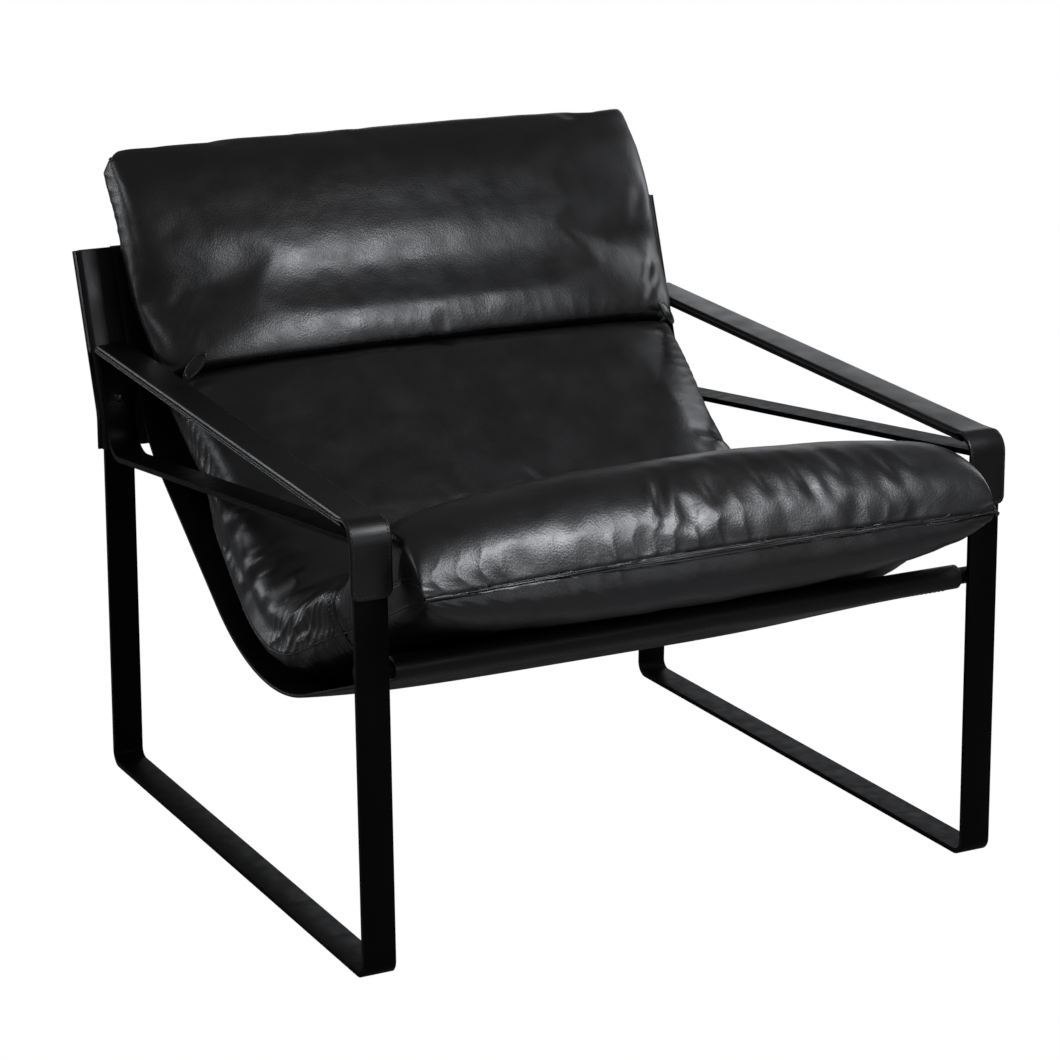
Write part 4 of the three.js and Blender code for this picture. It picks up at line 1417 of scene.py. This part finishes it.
# %% [markdown]
# The sewn look comes after the cloth tool, because a seam is finer than its grid. Each section is
# subdivided twice. Then its points are pushed in or out along their normals: a groove along the
# seams, puckers that run square to them and fade out, and soft dents. The side panels get a fan
# of folds round the end of the channel between roll and seat, and three longer raised folds.

# %% Folds, puckers and grooves
def wander(u, v, seed):
    """Smooth seeded noise from -1 to 1 over two coordinates."""
    table = np.random.RandomState(seed).uniform(-1, 1, (128, 128))
    i, j = np.floor(u).astype(int), np.floor(v).astype(int)
    fu, fv = smooth(u - i), smooth(v - j)

    def at(a, b):
        return table[a % 128, b % 128]

    low = at(i, j) * (1 - fu) + at(i + 1, j) * fu
    high = at(i, j + 1) * (1 - fu) + at(i + 1, j + 1) * fu
    return low * (1 - fv) + high * fv


def ridges(u):
    """Rounded ridges with sharper valleys, one for each whole number, from -1 to 1."""
    return 1 - 2 * np.abs(np.sin(math.pi * u)) ** 0.7


DART_LENGTH = 88 * MM
DART_COLUMN = 6


def surface_lengths(section):
    """Distances over the leather for each grid point, in metres, by name."""
    grid = section.grid_now()
    last, ring = section.top_columns - 1, section.ring
    down = np.zeros(grid.shape[:2])
    down[1:] = np.cumsum(np.linalg.norm(np.diff(grid, axis=0), axis=2), axis=0)
    round_ring = np.concatenate([grid, grid[:, :1]], axis=1)
    reach = np.zeros((len(grid), ring + 1))
    reach[:, 1:] = np.cumsum(np.linalg.norm(np.diff(round_ring, axis=1), axis=2), axis=1)
    across = reach[:, :ring]
    right, whole = across[:, last:last + 1], reach[:, ring:]
    side = np.minimum(np.minimum(across, np.abs(across - right)), whole - across)
    darts = [np.abs(across - across[:, c:c + 1]) for c in (DART_COLUMN, last - DART_COLUMN)]
    low = np.tile(np.arange(ring) > last, (len(grid), 1)).astype(float)
    middle = section.top_columns // 2
    return {"down": down, "up": down[-1:] - down, "across": across - across[:, middle:middle + 1],
            "side": side, "dart": np.minimum(*darts), "low": low}


class Leather:
    """The points of a subdivided section with the distances that each of them kept."""

    def __init__(self, piece, names):
        count = len(piece.data.vertices)
        self.co, self.normal = np.zeros(count * 3), np.zeros(count * 3)
        piece.data.vertices.foreach_get("co", self.co)
        piece.data.vertices.foreach_get("normal", self.normal)
        self.co, self.normal = self.co.reshape(-1, 3), self.normal.reshape(-1, 3)
        for name in names:
            numbers = np.zeros(count)
            layer = piece.data.attributes[name]
            layer.data.foreach_get("value", numbers)
            setattr(self, name, numbers)
            piece.data.attributes.remove(layer)
        self.top = 1 - np.clip(self.low, 0, 1)


def section_seams(section):
    """The seams of a section as lines of points: both sides, the closed end, and the roll's darts."""
    grid = section.grid_now()
    last = section.top_columns - 1
    lines = [grid[:, 0], grid[:, last]]
    if section is roll:
        lines.append(grid[0, :last + 1])
        down = surface_lengths(roll)["down"]
        for column in (DART_COLUMN, last - DART_COLUMN):
            lines.append(grid[down[:, column] < DART_LENGTH, column])
    if section is head:
        lines.append(grid[-1, :last + 1])
    return lines


def dent(skin, start, end, width, depth):
    """A soft crease between two places (down, across) in mm, with a little rise on both sides."""
    a, b = np.array(start) * MM, np.array(end) * MM
    way = b - a
    share = np.clip(((skin.down - a[0]) * way[0] + (skin.across - a[1]) * way[1]) / (way @ way), 0, 1)
    gap = np.hypot(skin.down - a[0] - share * way[0], skin.across - a[1] - share * way[1]) / (width * MM)
    fade = np.sin(math.pi * np.clip(share, 0.06, 0.94))
    return skin.top * depth * MM * fade * (0.45 * np.exp(-((gap - 1.9) / 0.9) ** 2) - np.exp(-gap ** 2))


FAN_HEIGHT = 126 * MM


def on_sides(skin):
    """1 on the pad's side panels, 0 on its face."""
    return smooth((np.abs(skin.normal[:, 0]) - 0.2) / 0.35)


def fan_folds(skin):
    """Folds on a side panel, spreading down and back from the end of the channel."""
    at, out = rest_at(ROLL_END)
    centre = at + out * FAN_HEIGHT
    y, z = skin.co[:, 1] - FRAME_MIDDLE - centre[0], skin.co[:, 2] - centre[1]
    reach = np.hypot(y, z)
    angle = np.degrees(np.arctan2(y, -z)) + 90 * reach
    angle = angle + 4 * wander(reach / (30 * MM), angle / 25, 7)
    fine = ridges(angle / 10.0) * smooth((90 - angle) / 20) * smooth((angle + 45) / 20)
    span = smooth((reach - 10 * MM) / (30 * MM))
    strength = 0.7 + 0.3 * wander(angle / 9, angle * 0, 11)
    size = 2.2 * fine * smooth((250 * MM - reach) / (90 * MM))
    return size * MM * on_sides(skin) * span * strength


def side_fold(skin, start, end, width, height):
    """A raised fold on both side panels between two places (depth, height) in mm, hollow on each side."""
    a, b = np.array(start) * MM, np.array(end) * MM
    way = b - a
    y, z = skin.co[:, 1] - FRAME_MIDDLE - a[0], skin.co[:, 2] - a[1]
    share = np.clip((y * way[0] + z * way[1]) / (way @ way), 0, 1)
    bow = 0.1 * np.sin(math.pi * share) * np.linalg.norm(way)
    off = (z * way[0] - y * way[1]) / np.linalg.norm(way)
    along = np.hypot(y - share * way[0], z - share * way[1])
    gap = np.where((share > 0) & (share < 1), np.abs(off + bow), along) / (width * MM)
    fade = np.sin(math.pi * np.clip(share, 0.04, 0.96)) ** 0.7
    return on_sides(skin) * fade * height * MM * (np.exp(-gap ** 2) - 0.5 * np.exp(-((gap - 1.9) / 0.9) ** 2))


def pucker(far, where, wave, reach, height, seed):
    """Little ridges square to a seam that fade away from it, in some stretches and not in others."""
    u = where / wave + 0.4 * wander(where / (2.3 * wave), far / (20 * MM), seed)
    patchy = smooth(0.35 + 1.2 * wander(where / (4 * wave), far * 0, seed + 1))
    near = np.exp(-(far / reach) ** 1.4) * (1 - np.exp(-(far / (5 * MM)) ** 2))
    return height * ridges(u) * patchy * near


def groove(far, depth=1.2 * MM, width=2.2 * MM):
    return -depth * np.exp(-(far / width) ** 2)


def swell(skin, length, width, height, seed):
    return height * skin.top * wander(skin.down / length, skin.across / width, seed)


def roll_shape(skin):
    dart = np.where(skin.down < DART_LENGTH, skin.dart, 1)
    push = groove(skin.side) + groove(skin.down) + groove(dart)
    push += pucker(skin.down, skin.across, 24 * MM, 30 * MM, 0.8 * MM, 3)
    push += (pucker(skin.side, skin.down, 15 * MM, 20 * MM, 0.8 * MM, 4)
             + pucker(dart, skin.down, 9 * MM, 12 * MM, 0.6 * MM, 5))
    push += dent(skin, (34, -62), (96, -46), 6.5, 2.4) + dent(skin, (30, 12), (84, 2), 9, 1.6)
    push += dent(skin, (38, 74), (100, 60), 8, 1.9) + dent(skin, (26, 118), (96, 104), 7, 1.5)
    push += dent(skin, (40, 168), (110, 150), 9, 1.6) + dent(skin, (34, 226), (96, 210), 8, 1.4)
    push += dent(skin, (34, -165), (86, -150), 12, 0.8)
    push += swell(skin, 48 * MM, 62 * MM, 1.0 * MM, 21)
    push += swell(skin, 34 * MM, 15 * MM, 0.45 * MM, 22) * np.exp(-skin.down / (70 * MM))
    push += 0.9 * MM * skin.low * wander(skin.down / (60 * MM), skin.across / (22 * MM), 23)
    return push + fan_folds(skin)


def seat_shape(skin):
    push = groove(skin.side) + pucker(skin.side, skin.down, 15 * MM, 24 * MM, 0.7 * MM, 31)
    push += skin.top * pucker(skin.up, skin.across, 26 * MM, 28 * MM, 0.8 * MM, 33)
    push += swell(skin, 70 * MM, 80 * MM, 1.0 * MM, 35) + swell(skin, 20 * MM, 24 * MM, 0.3 * MM, 36)
    push += dent(skin, (262, 34), (304, 12), 6, 1.3) + dent(skin, (250, -70), (300, -96), 9, 1.2)
    push += dent(skin, (520, -170), (566, -120), 10, 0.8)
    push += dent(skin, (585, 325), (650, 215), 6, 1.6) + dent(skin, (555, 328), (612, 245), 6, 1.4)
    push += dent(skin, (625, 325), (668, 262), 5, 1.2)
    push += side_fold(skin, (58, 296), (-82, 412), 9, 5.5) + side_fold(skin, (6, 292), (-148, 400), 9, 5)
    push += side_fold(skin, (112, 336), (-10, 440), 9, 3.5)
    push += on_sides(skin) * pucker(skin.side, skin.down, 14 * MM, 60 * MM, 1.1 * MM, 32)
    return push + fan_folds(skin)


def head_shape(skin):
    push = groove(skin.side) + groove(skin.up) + pucker(skin.side, skin.down, 17 * MM, 22 * MM, 0.8 * MM, 41)
    push += skin.top * pucker(skin.down, skin.across, 21 * MM, 38 * MM, 1.0 * MM, 43)
    push += swell(skin, 70 * MM, 90 * MM, 0.5 * MM, 45) + swell(skin, 20 * MM, 26 * MM, 0.3 * MM, 46)
    push += dent(skin, (178, -322), (216, -280), 9, 0.6) + dent(skin, (96, -322), (136, -290), 7, 1.2)
    push += dent(skin, (60, -316), (92, -296), 6, 1.2) + dent(skin, (150, 285), (205, 322), 10, 1.2)
    push += dent(skin, (84, 318), (40, 262), 5, 1.4) + dent(skin, (112, 322), (62, 280), 5, 1.2)
    return push


def finish(section, node, shape):
    """Subdivides a section twice, pushes its points by shape, and hands it to the frame."""
    piece = section.piece
    lengths = surface_lengths(section)
    for name, values in lengths.items():
        layer = piece.data.attributes.new(name, "FLOAT", "POINT")
        numbers = np.zeros(len(piece.data.vertices))
        numbers[section.index.reshape(-1)] = values.reshape(-1)
        layer.data.foreach_set("value", numbers)
    with_modifier(piece, "SUBSURF", levels=2, render_levels=2)
    skin = Leather(piece, list(lengths))
    push = shape(skin)
    piece.data.vertices.foreach_set("co", (skin.co + skin.normal * push[:, None]).reshape(-1))
    piece.data.shade_smooth()
    piece.data.update()
    settle(piece, "pad_leather", pad_leather, node)
    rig.padded(piece, fill=0.75)
    print(piece.name, "faces", len(piece.data.polygons), "pushed", round(float(np.abs(push).max()), 4))


SEAM_LINES = [(section, line) for section in (roll, seat, head) for line in section_seams(section)]
finish(roll, "pad_front_roll", roll_shape)
finish(seat, "pad_seat_and_back", seat_shape)
finish(head, "pad_head", head_shape)


# %% [markdown]
# Where two panels meet, the turned edge of the leather stands up as a thin lip. It is what draws
# the fine light line along every seam, so each seam gets a slim rounded strip laid in its groove.

# %% Seam lips
def along_line(line, spacing):
    reach = lengths_along(line)
    return between(np.linspace(0, reach[-1], max(3, int(reach[-1] / spacing))), reach, line)


def lip_rings(skin, line, radius=0.8 * MM, sides=8):
    """Rings of points along a seam, set on the finished leather of the piece that it belongs to."""
    found = [skin.find_nearest(Vector(q)) for q in along_line(line, 4 * MM)]
    points = np.array([tuple(f[0]) for f in found])
    away = np.array([tuple(f[1]) for f in found])
    for values in (points, away):
        for _ in range(3):
            values[1:-1] = (values[:-2] + 2 * values[1:-1] + values[2:]) / 4
    ahead = np.gradient(points, axis=0)
    ahead /= np.linalg.norm(ahead, axis=1, keepdims=True)
    away -= (away * ahead).sum(1, keepdims=True) * ahead
    away /= np.linalg.norm(away, axis=1, keepdims=True)
    cross = np.cross(ahead, away)
    angles = np.arange(sides) * 2 * math.pi / sides
    ring = np.cos(angles)[:, None, None] * cross + (0.25 + np.sin(angles))[:, None, None] * away
    size = radius * (1 + 0.12 * np.sin(1.7 * np.arange(len(points))))
    return points[:, None] + (size[:, None, None] * ring.transpose(1, 0, 2))


def seam_lips():
    verts, faces = [], []
    bpy.context.view_layer.update()
    graph = bpy.context.evaluated_depsgraph_get()
    skins = {section.name: BVHTree.FromObject(section.piece, graph) for section in (roll, seat, head)}
    for section, line in SEAM_LINES:
        rings = lip_rings(skins[section.name], line)
        rows, sides = rings.shape[:2]
        base = len(verts)
        verts.extend(rings.reshape(-1, 3).tolist())
        for i in range(rows - 1):
            for j in range(sides):
                k = (j + 1) % sides
                corners = (i * sides + j, i * sides + k, (i + 1) * sides + k, (i + 1) * sides + j)
                faces.append(tuple(base + v for v in corners))
        faces.append(tuple(base + j for j in range(sides)))
        faces.append(tuple(base + (rows - 1) * sides + j for j in range(sides - 1, -1, -1)))
    piece = new_mesh("pad_seam_lips", verts, faces)
    face_outwards(piece)
    shade(piece, 60)
    return settle(piece, "pad_leather", pad_leather)


lips = seam_lips()
print("seam lips", len(lips.data.polygons), "faces")


# %% [markdown]
# Where the channel under the head section ends, the spare leather of both panels is folded out
# into a small ear. It is made as a person would bend it: a flat disc drawn out to an oval, with
# a turned edge round it, laid over the corner of the section.

# %% Ears at the ends of the head channel
EAR_WIDTH = 13 * MM
EAR_HEIGHT = 34 * MM


def ear(side, sign):
    bpy.ops.object.select_all(action="DESELECT")
    bpy.ops.mesh.primitive_torus_add(major_radius=0.5, minor_radius=0.09, major_segments=40, minor_segments=10)
    rim = bpy.context.object
    bpy.ops.mesh.primitive_uv_sphere_add(segments=32, ring_count=16, radius=0.5)
    disc = bpy.context.object
    bpy.ops.object.mode_set(mode="EDIT")
    bpy.ops.mesh.select_all(action="SELECT")
    bpy.ops.transform.resize(value=(0.98, 0.98, 0.16))
    bpy.ops.object.mode_set(mode="OBJECT")
    bpy.ops.object.select_all(action="DESELECT")
    disc.select_set(True)
    rim.select_set(True)
    bpy.context.view_layer.objects.active = rim
    bpy.ops.object.join()
    rim.name = f"channel_ear_{side}"
    at, out = rest_at(HEAD_START + 9 * MM)
    height = station_value(THICKNESS, HEAD_START) * 0.84
    on_corner = at + out * height
    place = Vector((sign * (PAD_HALF - 30 * MM), on_corner[0] + FRAME_MIDDLE, on_corner[1]))
    lean = Matrix.Rotation(math.radians(76), 4, "X") @ Matrix.Rotation(math.radians(38 * sign), 4, "Z")
    turn = Matrix.Rotation(math.radians(34 * sign), 4, "Z")
    grow = Matrix.Diagonal((EAR_WIDTH, EAR_HEIGHT, 14 * MM, 1))
    rim.data.transform(Matrix.Translation(place) @ turn @ lean @ grow)
    shade(rim, 60)
    return settle(rim, "pad_leather", pad_leather)


for side, sign in (("left", -1), ("right", 1)):
    ear(side, sign)


# %% Write the sizes and finish
def plain_box(bounds):
    return [[float(c) for c in corner] for corner in bounds]


json.dump({"cad": plain_box(cad_bounds), "visual": plain_box(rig.bounds())}, open("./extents.json", "w"))
print("size", json.load(open("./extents.json")))
